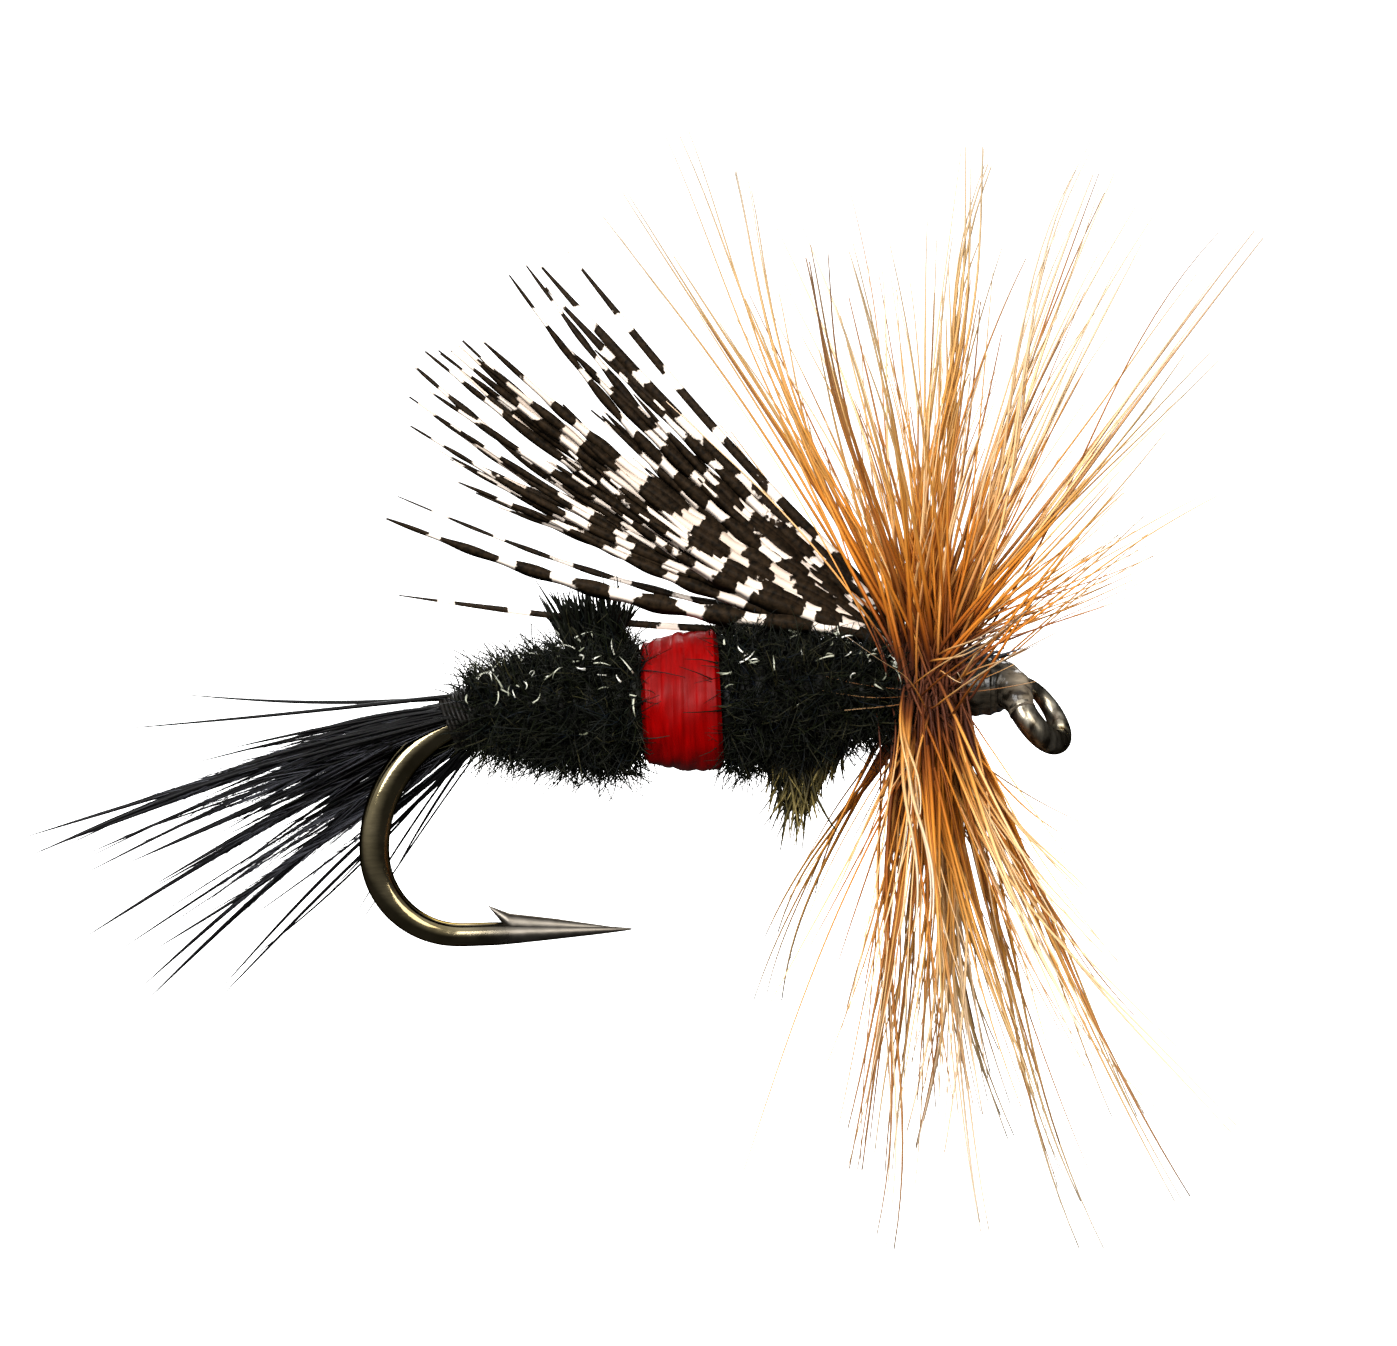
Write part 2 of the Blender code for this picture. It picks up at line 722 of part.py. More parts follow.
def build_head():
    """Thread wraps of the head, and the coat of cement over them."""
    thread_distance = WIRE_RADIUS + GAP + THREAD_RADIUS
    points = coil(HEAD_REAR_X, HEAD_FRONT_X, HEAD_TURNS, lambda x: thread_distance)
    make_wire("head_thread", points, THREAD_RADIUS, black_thread(), resolution=0)
    bore = thread_distance + THREAD_RADIUS + GAP
    rear_x = HEAD_REAR_X - HEAD_END_ROOM
    front_x = HEAD_FRONT_X + HEAD_END_ROOM
    rear, fullest, front = HEAD_COAT
    outline = [
        (front_x, bore + front),
        (mix(rear_x, front_x, 0.5), bore + fullest),
        (rear_x, bore + rear),
        (rear_x, bore),
        (front_x, bore),
    ]
    make_turned("head_cement", outline, clear_varnish())


clear_scene()
FLY = make_collection("dry_fly")
CUTTERS = make_collection("cutters")

build_hook()
build_thread_base()
build_underbody()
for strand in range(HERL_STRANDS):
    letter = "ab"[strand]
    build_herl(f"rear_herl_{letter}", REAR_HERL, 180.0 * strand)
    build_herl(f"front_herl_{letter}", FRONT_HERL, 180.0 * strand)
build_floss_band()
build_herl_tip("rear_herl_tip", *REAR_HERL_TIP, peacock_herl())
build_herl_tip("front_herl_tip", *FRONT_HERL_TIP, olive_herl_tip())
build_tail()
build_tail_wraps()
build_wing()
build_wing_wraps()
build_hackle_stem()
build_hackle()
build_head()
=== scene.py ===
"""Looks of the dry fly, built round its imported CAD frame.

Lengths are in metres in the frame's own axes: +X runs forward to the hook eye, +Z is up and +Y is the
far side. Fibres are closed tubes made in bulk, and each carries a UV map named "fibre" whose U is the
share of its length from root to tip and whose V is a number of its own, for the materials to read.
"""
import math

import bpy
import numpy as np
from mathutils import Matrix, Vector


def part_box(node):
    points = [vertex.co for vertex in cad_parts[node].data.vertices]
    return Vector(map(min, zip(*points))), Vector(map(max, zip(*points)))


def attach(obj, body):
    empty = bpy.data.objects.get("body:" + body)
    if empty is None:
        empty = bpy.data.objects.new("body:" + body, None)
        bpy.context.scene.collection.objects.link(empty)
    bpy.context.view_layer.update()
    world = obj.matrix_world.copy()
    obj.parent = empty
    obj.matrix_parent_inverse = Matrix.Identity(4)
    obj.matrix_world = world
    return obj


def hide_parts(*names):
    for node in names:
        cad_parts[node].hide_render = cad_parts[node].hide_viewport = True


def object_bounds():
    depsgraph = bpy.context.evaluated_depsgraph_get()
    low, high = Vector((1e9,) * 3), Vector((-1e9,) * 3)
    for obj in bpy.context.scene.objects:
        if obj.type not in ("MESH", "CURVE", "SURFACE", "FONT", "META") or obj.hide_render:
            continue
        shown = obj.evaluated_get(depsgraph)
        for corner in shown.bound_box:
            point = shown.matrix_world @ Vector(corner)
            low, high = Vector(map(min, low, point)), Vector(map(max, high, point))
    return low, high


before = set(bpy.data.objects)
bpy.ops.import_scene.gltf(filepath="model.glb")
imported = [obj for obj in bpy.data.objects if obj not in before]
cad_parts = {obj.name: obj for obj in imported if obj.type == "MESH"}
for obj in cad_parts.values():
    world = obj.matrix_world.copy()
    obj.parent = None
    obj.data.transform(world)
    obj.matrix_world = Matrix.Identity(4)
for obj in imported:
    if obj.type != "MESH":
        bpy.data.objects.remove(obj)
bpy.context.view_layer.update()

MM = 0.001
UV_MAP = "fibre"
FORWARD = np.array([1.0, 0.0, 0.0])
FAR = np.array([0.0, 1.0, 0.0])
UP = np.array([0.0, 0.0, 1.0])

# Camera
LENS = 135.0
SENSOR = 36.0
FRAME_WIDTH = 29.4 * MM
CAMERA_ELEVATION = 5.0
CAMERA_ROLL = 3.0
AIM = Vector((-7.1 * MM, 0.0, 1.2 * MM))

# Hook, the same wire as the CAD node
WIRE_RADIUS = 0.29 * MM
UPPER_BEND_RADIUS = 2.92 * MM
LOWER_BEND_RADIUS = 1.78 * MM
POINT_RISE = -1.0
POINT_LENGTH = 3.6 * MM
POINT_TAPER = 2.8 * MM
POINT_RADIUS = 0.25 * MM
FORGED_HALF_THICKNESS = 0.36 * MM
FORGED_SPREAD = 1.10
EYE_RADIUS = 0.75 * MM
EYE_WIRE_RADIUS = 0.28 * MM
EYE_END_RADIUS = 0.13 * MM
EYE_TURN_DOWN = 56.0
EYE_TWIST = 21.0
EYE_ARC = (-162.0, 150.0)
THREAD_RADIUS = 0.05 * MM
WRAP_RADIUS = 0.9 * THREAD_RADIUS


def middle(node):
    """Centre of a CAD node's box."""
    low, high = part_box(node)
    return (low + high) / 2.0


SHANK_Z = middle("underbody").z
BEND_START_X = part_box("hook")[0].x + WIRE_RADIUS * FORGED_SPREAD + UPPER_BEND_RADIUS


# ---------------- small helpers

def unit(vectors):
    """Vectors scaled to length one."""
    return vectors / np.maximum(np.linalg.norm(vectors, axis=-1, keepdims=True), 1e-12)


def mix(start, end, share):
    """Value part of the way from start to end."""
    return start + (end - start) * share


def steps(count):
    """Even shares from 0 to 1."""
    return np.linspace(0.0, 1.0, count)


def smooth(share):
    """Smooth step of a share from 0 to 1."""
    share = np.clip(share, 0.0, 1.0)
    return share * share * (3.0 - 2.0 * share)


def polar(angle, radius=1.0):
    """Point in the X-Z plane at an angle in degrees from +X towards +Z."""
    turn = math.radians(angle)
    return np.array([radius * math.cos(turn), 0.0, radius * math.sin(turn)])


def around(clock):
    """Directions square to the shank, at clock angles in degrees from the top towards +Y."""
    turn = np.radians(clock)
    return np.stack([np.zeros_like(turn), np.sin(turn), np.cos(turn)], axis=-1)


def carried_normals(path):
    """Normals along one path that turn with it as little as they can."""
    tangents = unit(np.gradient(path, axis=0))
    normal = np.cross(tangents[0], FAR)
    normals = []
    for tangent in tangents:
        normal = unit(normal - tangent * (normal @ tangent))
        normals.append(normal)
    return np.array(normals)


class Piece:
    """Collects closed shapes and turns them into one object."""

    def __init__(self):
        self.points = []
        self.faces = []
        self.marks = []
        self.slots = []
        self.count = 0

    def skin(self, rings, marks, slot=0):
        """Add a closed skin over rings (strand, ring, corner, axis), with a UV pair for each point."""
        index = np.arange(rings[..., 0].size).reshape(rings.shape[:3])
        following = np.roll(index, -1, axis=2)
        quads = np.stack([index[:, :-1], following[:, :-1], following[:, 1:], index[:, 1:]], axis=-1)
        for block in (quads.reshape(-1, 4), index[:, 0, ::-1], index[:, -1]):
            self.faces.extend((block + self.count).tolist())
            self.slots.extend([slot] * len(block))
        self.points.append(rings.reshape(-1, 3))
        self.marks.append(marks.reshape(-1, 2))
        self.count += index.size

    def tubes(self, paths, radii, share=None, seed=None, sides=4, flat=1.0, reference=None, slot=0):
        """Add a closed tube along each path; flat squeezes it across its reference direction."""
        paths = np.asarray(paths, float)
        strands, count = paths.shape[:2]
        radii = np.broadcast_to(radii, (strands, count))
        share = np.broadcast_to(steps(count) if share is None else share, (strands, count))
        seed = np.zeros(strands) if seed is None else np.asarray(seed)
        tangent = unit(np.gradient(paths, axis=1))
        if reference is None:
            whole = unit(paths[:, -1] - paths[:, 0])
            reference = np.where(np.abs(whole[:, :1]) < 0.8, FORWARD, FAR)[:, None, :]
        normal = unit(reference - tangent * (reference * tangent).sum(-1, keepdims=True))
        binormal = np.cross(tangent, normal)
        turn = 2.0 * np.pi * np.arange(sides) / sides
        spokes = np.cos(turn)[:, None] * normal[:, :, None]
        spokes = spokes + flat * np.sin(turn)[:, None] * binormal[:, :, None]
        marks = np.stack([share, np.broadcast_to(seed[:, None], share.shape)], axis=-1)
        marks = np.repeat(marks[:, :, None], sides, axis=2)
        self.skin(paths[:, :, None] + radii[:, :, None, None] * spokes, marks, slot)

    def build(self, name, materials, slot_name, *nodes):
        """Make the object, which rides on the root body and stands for the CAD nodes named."""
        mesh = bpy.data.meshes.new(name)
        mesh.from_pydata(np.concatenate(self.points), [], self.faces)
        for material in materials:
            mesh.materials.append(material)
        mesh.polygons.foreach_set("material_index", np.array(self.slots, np.int32))
        corners = np.zeros(len(mesh.loops), np.int32)
        mesh.loops.foreach_get("vertex_index", corners)
        layer = mesh.uv_layers.new(name=UV_MAP)
        layer.data.foreach_set("uv", np.concatenate(self.marks)[corners].astype(np.float32).ravel())
        mesh.shade_smooth()
        mesh.update()
        item = place_object(name, mesh)
        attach(item, "root")
        if nodes:
            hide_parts(*nodes)
        return item


def tube_piece(name, material, slot_name, node, paths, radii, **form):
    """Object made of one lot of tubes, in place of a CAD node."""
    piece = Piece()
    piece.tubes(paths, radii, **form)
    piece.build(name, [material], slot_name, node)


# ---------------- material nodes

class Nodes:
    """A node tree and short ways to add nodes to it."""

    def __init__(self, tree):
        self.tree = tree

    def fill(self, node, values):
        """Set plain values on a node's inputs."""
        for socket, value in values.items():
            node.inputs[socket].default_value = value

    def node(self, kind, **settings):
        """Add a node of a kind, such as Math."""
        made = self.tree.nodes.new("ShaderNode" + kind)
        for key, value in settings.items():
            setattr(made, key, value)
        return made

    def join(self, source, target):
        """Link an output, or set a plain value, to an input."""
        if isinstance(source, (int, float)):
            target.default_value = source
        else:
            self.tree.links.new(source, target)

    def math(self, operation, first, second=0.0):
        """Result of a Math node."""
        made = self.node("Math", operation=operation)
        self.join(first, made.inputs[0])
        self.join(second, made.inputs[1])
        return made.outputs[0]

    def share_and_seed(self):
        """The two numbers of the fibre UV map."""
        split = self.axes(self.node("UVMap", uv_map=UV_MAP).outputs["UV"])
        return split["X"], split["Y"]

    def place(self):
        """Position in the object's own space, in metres."""
        return self.node("TexCoord").outputs["Object"]

    def axes(self, vector):
        """X, Y and Z of a vector."""
        split = self.node("SeparateXYZ")
        self.join(vector, split.inputs[0])
        return split.outputs

    def noise(self, scale, detail=3.0, stretch=None):
        """Noise at a number of cells per metre."""
        source = self.place()
        if stretch is not None:
            mapping = self.node("Mapping")
            self.fill(mapping, {"Scale": stretch})
            self.join(source, mapping.inputs["Vector"])
            source = mapping.outputs["Vector"]
        made = self.node("TexNoise")
        self.fill(made, {"Scale": scale, "Detail": detail})
        self.join(source, made.inputs["Vector"])
        return made.outputs["Fac"]

    def swing(self, source, size):
        """Source less a half, times a size."""
        return self.math("MULTIPLY", self.math("SUBTRACT", source, 0.5), size)

    def ramp(self, factor, stops):
        """Colour ramp with (place, colour) stops."""
        made = self.node("ValToRGB")
        ends = made.color_ramp.elements
        while len(ends) < len(stops):
            ends.new(0.5)
        for end, (place, colour) in zip(ends, stops):
            end.position = place
            end.color = (*colour, 1.0)
        self.join(factor, made.inputs["Fac"])
        return made.outputs["Color"]

    def span(self, factor, low, high, start=0.0, end=1.0):
        """Factor mapped smoothly from low..high to start..end."""
        made = self.node("MapRange", interpolation_type="SMOOTHSTEP")
        self.join(factor, made.inputs["Value"])
        self.fill(made, {"From Min": low, "From Max": high, "To Min": start, "To Max": end})
        return made.outputs["Result"]

    def blend(self, factor, first, second):
        """Mix of two colours, each an output or a plain colour."""
        made = self.node("Mix", data_type="RGBA")
        self.join(factor, made.inputs[0])
        for source, socket in ((first, made.inputs[6]), (second, made.inputs[7])):
            if isinstance(source, tuple):
                socket.default_value = (*source, 1.0)
            else:
                self.join(source, socket)
        return made.outputs[2]


class Paint(Nodes):
    """A Principled material."""

    def __init__(self, name, roughness=0.5, specular=0.5, metallic=0.0):
        self.material = bpy.data.materials.new(name)
        self.material.use_nodes = True
        super().__init__(self.material.node_tree)
        self.shader = self.tree.nodes["Principled BSDF"]
        self.fill(self.shader, {"Roughness": roughness, "Specular IOR Level": specular, "Metallic": metallic})

    def colour(self, source):
        """Use a colour output as the base colour."""
        self.join(source, self.shader.inputs["Base Color"])

    def rough(self, source):
        """Use an output as the roughness."""
        self.join(source, self.shader.inputs["Roughness"])

    def bump(self, height, distance, strength):
        """Use an output as relief of a height in metres."""
        made = self.node("Bump")
        self.fill(made, {"Strength": strength, "Distance": distance})
        self.join(height, made.inputs["Height"])
        self.join(made.outputs["Normal"], self.shader.inputs["Normal"])


def bronze_paint():
    """Bronzed steel: grey at the cut point, olive gold round the bend, near black at the eye."""
    paint = Paint("hook_bronze", metallic=1.0)
    paint.fill(paint.shader, {"Specular Tint": (0.03, 0.02, 0.01, 1.0)})
    along, _ = paint.share_and_seed()
    cloud = paint.noise(1500.0, 4.0)
    gold = paint.ramp(cloud, [(0.3, (0.112, 0.091, 0.046)), (0.75, (0.240, 0.200, 0.118))])
    steel = paint.ramp(cloud, [(0.3, (0.055, 0.048, 0.040)), (0.75, (0.15, 0.135, 0.115))])
    mottle = paint.noise(5200.0, 4.0, (1.0, 1.0, 0.4))
    dark = paint.ramp(mottle, [(0.35, (0.040, 0.032, 0.022)), (0.68, (0.42, 0.38, 0.30))])
    tone = paint.blend(paint.span(along, 0.09, 0.16), steel, gold)
    paint.colour(paint.blend(paint.span(along, 0.78, 0.84), tone, dark))
    grain = paint.span(paint.noise(6000.0), 0.3, 0.8, 0.07, 0.14)
    point = paint.span(along, 0.07, 0.15, 0.28, 0.0)
    eye = paint.span(along, 0.80, 0.84, 0.0, 0.20)
    paint.rough(paint.math("ADD", grain, paint.math("ADD", point, eye)))
    paint.bump(paint.noise(9000.0, stretch=(0.15, 1.0, 1.0)), 0.004 * MM, 0.5)
    return paint.material


def varnish_paint():
    """Clear cement over the dark head and the grey wire of the eye."""
    paint = Paint("head_varnish", 0.18, 0.2)
    cloud = paint.noise(5500.0, 4.0, (0.25, 1.0, 1.0))
    dark = paint.ramp(cloud, [(0.42, (0.003, 0.0025, 0.0015)), (0.74, (0.055, 0.046, 0.034))])
    grey = paint.ramp(cloud, [(0.36, (0.020, 0.015, 0.010)), (0.68, (0.19, 0.155, 0.110))])
    paint.colour(paint.blend(paint.span(paint.axes(paint.place())["X"], -0.80 * MM, -0.30 * MM), dark, grey))
    paint.bump(paint.noise(2600.0), 0.05 * MM, 0.5)
    return paint.material


# Wound materials: roughness, specular, cells per metre and their stretch, two tones, and relief
WOUND = {
    # waxed black tying thread with fine filaments
    "tying_thread": (0.4, 0.10, 16000.0, None, (0.002, 0.002, 0.002), (0.010, 0.008, 0.006), 0.008 * MM),
    # bound butts under the body
    "underbody": (0.8, 0.1, 7000.0, (1.0, 0.2, 0.2), (0.003, 0.003, 0.003), (0.02, 0.017, 0.013), 0.02 * MM),
    # quill of the hackle
    "hackle_stem": (0.4, 0.3, 5000.0, None, (0.03, 0.008, 0.003), (0.12, 0.035, 0.008), 0.0),
}


def wound_paint(name):
    """Fine lines in two tones, with their relief."""
    roughness, specular, scale, stretch, dark, light, relief = WOUND[name]
    paint = Paint(name, roughness, specular)
    lines = paint.noise(scale, stretch=stretch)
    paint.colour(paint.ramp(lines, [(0.3, dark), (0.8, light)]))
    if relief:
        paint.bump(lines, relief, 0.6)
    return paint.material


def floss_paint():
    """Glossy red floss with filaments that run round the body."""
    paint = Paint("red_floss", specular=0.05)
    lines = paint.noise(11000.0, 4.0, (1.0, 0.10, 0.10))
    cloud = paint.noise(1800.0, 2.0)
    depth = paint.ramp(lines, [(0.25, (0.085, 0.0, 0.0)), (0.75, (0.185, 0.0002, 0.0002))])
    paint.colour(paint.blend(paint.span(cloud, 0.45, 0.8, 0.0, 0.8), depth, (0.10, 0.0, 0.0)))
    paint.rough(paint.span(cloud, 0.3, 0.7, 0.26, 0.5))
    paint.bump(lines, 0.016 * MM, 0.6)
    return paint.material


# Fibre materials: roughness, specular, tones by the fibre's own number, and the span of its length over
# which it blends with one other colour
FIBRES = {
    # near-black flue with green, bronze and blue lights
    "peacock_herl": (0.45, 0.07, [
        (0.0, (0.001, 0.001, 0.001)), (0.55, (0.0025, 0.003, 0.002)), (0.80, (0.006, 0.008, 0.003)),
        (0.90, (0.003, 0.005, 0.009)), (1.0, (0.030, 0.028, 0.012)),
    ], (0.4, 1.0, 0.0, 0.3), (0.008, 0.009, 0.005)),
    # painted highlights: the few flues painted pale to stand for glints of light on the herl
    "herl_painted_glint": (0.3, 0.5, [
        (0.0, (0.10, 0.11, 0.07)), (0.5, (0.42, 0.43, 0.34)), (1.0, (0.95, 0.95, 0.88)),
    ], (0.55, 1.0, 0.0, 0.9), (0.05, 0.055, 0.03)),
    # olive-brown herl tip, near black at its root
    "herl_tip": (0.5, 0.15, [
        (0.0, (0.006, 0.006, 0.003)), (0.5, (0.045, 0.036, 0.010)), (1.0, (0.20, 0.155, 0.05)),
    ], (0.35, 0.85, 1.0, 0.0), (0.002, 0.002, 0.0015)),
    # glossy black barbs
    "tail_barbs": (0.42, 0.08, [
        (0.0, (0.001, 0.001, 0.001)), (0.8, (0.003, 0.003, 0.0035)), (1.0, (0.012, 0.012, 0.015)),
    ], (0.7, 1.0, 0.0, 0.5), (0.010, 0.010, 0.011)),
    # blue-grey web between the roots of the tail barbs
    "tail_web": (0.6, 0.1, [(0.0, (0.004, 0.004, 0.005)), (1.0, (0.085, 0.088, 0.105))], None, None),
}


def fibre_paint(name):
    """Fibres toned each by its own number, changing along their length."""
    roughness, specular, tones, span, other = FIBRES[name]
    paint = Paint(name, roughness, specular)
    share, seed = paint.share_and_seed()
    tone = paint.ramp(seed, tones)
    if span:
        tone = paint.blend(paint.span(share, *span), tone, other)
    paint.colour(tone)
    return paint.material


def hackle_paint():
    """Ginger barbs: dark red-brown by the quill, gold along the middle and pale at the tip."""
    paint = Paint("hackle_barbs", 0.5, 0.12)
    share, seed = paint.share_and_seed()
    gold = paint.ramp(share, [
        (0.0, (0.045, 0.011, 0.004)), (0.09, (0.075, 0.017, 0.004)), (0.18, (0.30, 0.080, 0.009)),
        (0.30, (0.52, 0.175, 0.018)), (0.50, (0.52, 0.235, 0.05)), (0.75, (0.42, 0.27, 0.12)),
        (1.0, (0.34, 0.28, 0.21))])
    deep = paint.ramp(share, [
        (0.0, (0.022, 0.006, 0.003)), (0.12, (0.060, 0.013, 0.003)), (0.35, (0.28, 0.080, 0.010)),
        (0.60, (0.32, 0.13, 0.032)), (1.0, (0.14, 0.090, 0.055))])
    sand = paint.ramp(share, [
        (0.0, (0.07, 0.018, 0.006)), (0.11, (0.14, 0.038, 0.008)), (0.22, (0.55, 0.23, 0.045)),
        (0.42, (0.68, 0.42, 0.19)), (1.0, (0.56, 0.46, 0.36))])
    tone = paint.blend(paint.span(seed, 0.40, 0.52), gold, deep)
    tone = paint.blend(paint.span(seed, 0.70, 0.80), tone, sand)
    place = paint.axes(paint.place())
    across = paint.math("POWER", place["Y"], 2.0)
    height = paint.math("POWER", paint.math("SUBTRACT", place["Z"], float(SHANK_Z)), 2.0)
    distance = paint.math("SQRT", paint.math("ADD", across, height))
    hub = paint.span(distance, 0.75 * MM, 1.75 * MM, 0.9, 0.0)
    paint.colour(paint.blend(hub, tone, (0.078, 0.026, 0.014)))
    return paint.material


def wing_paint():
    """Barred flank feather: U counts bars along the barb and V is its own number, higher for darker barbs."""
    paint = Paint("wing_barbs", 0.55, 0.05)
    bars, seed = paint.share_and_seed()
    wobble = paint.swing(paint.noise(1300.0, 2.0), 0.65)
    ragged = paint.swing(paint.noise(8000.0), 0.22)
    phase = paint.math("PINGPONG", paint.math("ADD", bars, paint.math("ADD", wobble, ragged)), 0.5)
    dark = paint.span(paint.math("ADD", phase, paint.swing(seed, 0.10)), 0.170, 0.208)
    light_tone = paint.ramp(seed, [(0.0, (0.50, 0.40, 0.32)), (1.0, (0.73, 0.64, 0.56))])
    cloud = paint.noise(9000.0, 2.0)
    dark_tone = paint.ramp(cloud, [(0.3, (0.003, 0.002, 0.001)), (0.75, (0.020, 0.012, 0.006))])
    paint.colour(paint.blend(dark, light_tone, dark_tone))
    return paint.material


def floor_paint():
    """Matt white paper."""
    paint = Paint("pale_floor", 0.9)
    paint.colour(paint.ramp(paint.noise(60.0), [(0.0, (0.90, 0.90, 0.90)), (1.0, (0.93, 0.93, 0.93))]))
    paint.fill(paint.shader, {"Emission Color": (1.0, 0.995, 0.985, 1.0), "Emission Strength": 0.8})
    return paint.material


# ---------------- camera, light and floor

def place_object(name, data):
    """New object in the scene."""
    made = bpy.data.objects.new(name, data)
    bpy.context.scene.collection.objects.link(made)
    return made


def make_camera():
    """Long-lens camera square to the fly's side and a little above it."""
    data = bpy.data.cameras.new("camera")
    data.lens = LENS
    data.sensor_width = SENSOR
    data.clip_start = 1.0 * MM
    data.clip_end = 10.0
    camera = place_object("camera", data)
    bpy.context.scene.camera = camera
    rise = math.radians(CAMERA_ELEVATION)
    back = Vector((0.0, -math.cos(rise), math.sin(rise)))
    facing = (-back).to_track_quat("-Z", "Y").to_matrix().to_4x4()
    roll = Matrix.Rotation(math.radians(-CAMERA_ROLL), 4, "Z")
    camera.matrix_world = Matrix.Translation(AIM + back * (FRAME_WIDTH * LENS / SENSOR)) @ facing @ roll


def make_area_light(name, place, size, power, colour=(1.0, 1.0, 1.0)):
    """Square soft light aimed at the middle of the fly."""
    data = bpy.data.lights.new(name, "AREA")
    data.size = size
    data.energy = power
    data.color = colour
    light = place_object(name, data)
    light.location = AIM + Vector(place)
    light.rotation_mode = "QUATERNION"
    light.rotation_quaternion = (-Vector(place)).to_track_quat("-Z", "Y")


def make_lights():
    """Soft key and fill either side of the camera, which streak the wire, and a rim, in a bright sky."""
    make_area_light("key", (-0.075, -0.20, 0.085), 0.12, 0.95)
    make_area_light("fill", (0.08, -0.19, 0.07), 0.10, 0.30, (1.0, 0.94, 0.84))
    make_area_light("rim", (0.03, 0.17, 0.15), 0.12, 0.45)
    world = bpy.data.worlds.new("surround")
    world.use_nodes = True
    bpy.context.scene.world = world
    sky = Nodes(world.node_tree)
    background = sky.tree.nodes["Background"]
    facing = sky.node("VectorMath", operation="DOT_PRODUCT")
    facing.inputs[1].default_value = Vector((-0.25, -0.35, 0.90)).normalized()
    sky.join(sky.node("TexCoord").outputs["Generated"], facing.inputs[0])
    sky.join(sky.span(facing.outputs["Value"], 0.05, 0.95, 0.07, 1.75), background.inputs["Strength"])
    sky.fill(background, {"Color": (1.0, 1.0, 1.0, 1.0)})


def make_floor(level):
    """Round seamless floor: flat under the fly and curved up at its edge, lit but not reflected."""
    flat_radius = 0.35
    curve_radius = 0.25
    wall_height = 1.2
    around_count = 96
    turn = np.radians(np.arange(10, 91, 10))
    across = [0.0, flat_radius, *(flat_radius + curve_radius * np.sin(turn)), flat_radius + curve_radius]
    heights = [0.0, 0.0, *(curve_radius * (1.0 - np.cos(turn))), wall_height]
    mesh = bpy.data.meshes.new("floor")
    corners = [(radius, 0.0, level + height) for radius, height in zip(across, heights)]
    mesh.from_pydata(corners, [(i, i + 1) for i in range(len(corners) - 1)], [])
    mesh.materials.append(floor_paint())
    floor = place_object("floor", mesh)
    screw = floor.modifiers.new("turn", "SCREW")
    screw.steps = around_count
    screw.render_steps = around_count
    screw.use_merge_vertices = True
    screw.merge_threshold = 0.00001
    screw.use_smooth_shade = True
    floor.visible_diffuse = False
    floor.visible_glossy = False
    floor.visible_shadow = False


# ---------------- hook

def arc(centre, radius, first, last, count):
    """Points of an arc in the X-Z plane."""
    return [centre + polar(angle, radius) for angle in np.linspace(first, last, count)]


def eye_ring():
    """Ring of the eye, from the shank down the near side and back up the far side to its cut end."""
    length = polar(-EYE_TURN_DOWN)
    twist = math.radians(EYE_TWIST)
    width = FAR * math.cos(twist) + polar(90.0 - EYE_TURN_DOWN) * math.sin(twist)
    angles = np.radians(np.linspace(*EYE_ARC, 64))[:, None]
    return list((length * np.cos(angles) + width * np.sin(angles)) * EYE_RADIUS)


def smooth_path(points, radii, spacing):
    """Resample a path at even steps and round its corners."""
    points = np.array(points)
    legs = np.linalg.norm(np.diff(points, axis=0), axis=1)
    place = np.concatenate([[0.0], np.cumsum(legs)])
    even = np.linspace(0.0, place[-1], int(place[-1] / spacing))
    path = np.stack([np.interp(even, place, points[:, axis]) for axis in range(3)], axis=1)
    size = np.interp(even, place, radii)
    for _ in range(12):
        path[1:-1] = (path[:-2] + path[1:-1] * 2.0 + path[2:]) / 4.0
        size[1:-1] = (size[:-2] + size[1:-1] * 2.0 + size[2:]) / 4.0
    return path, size


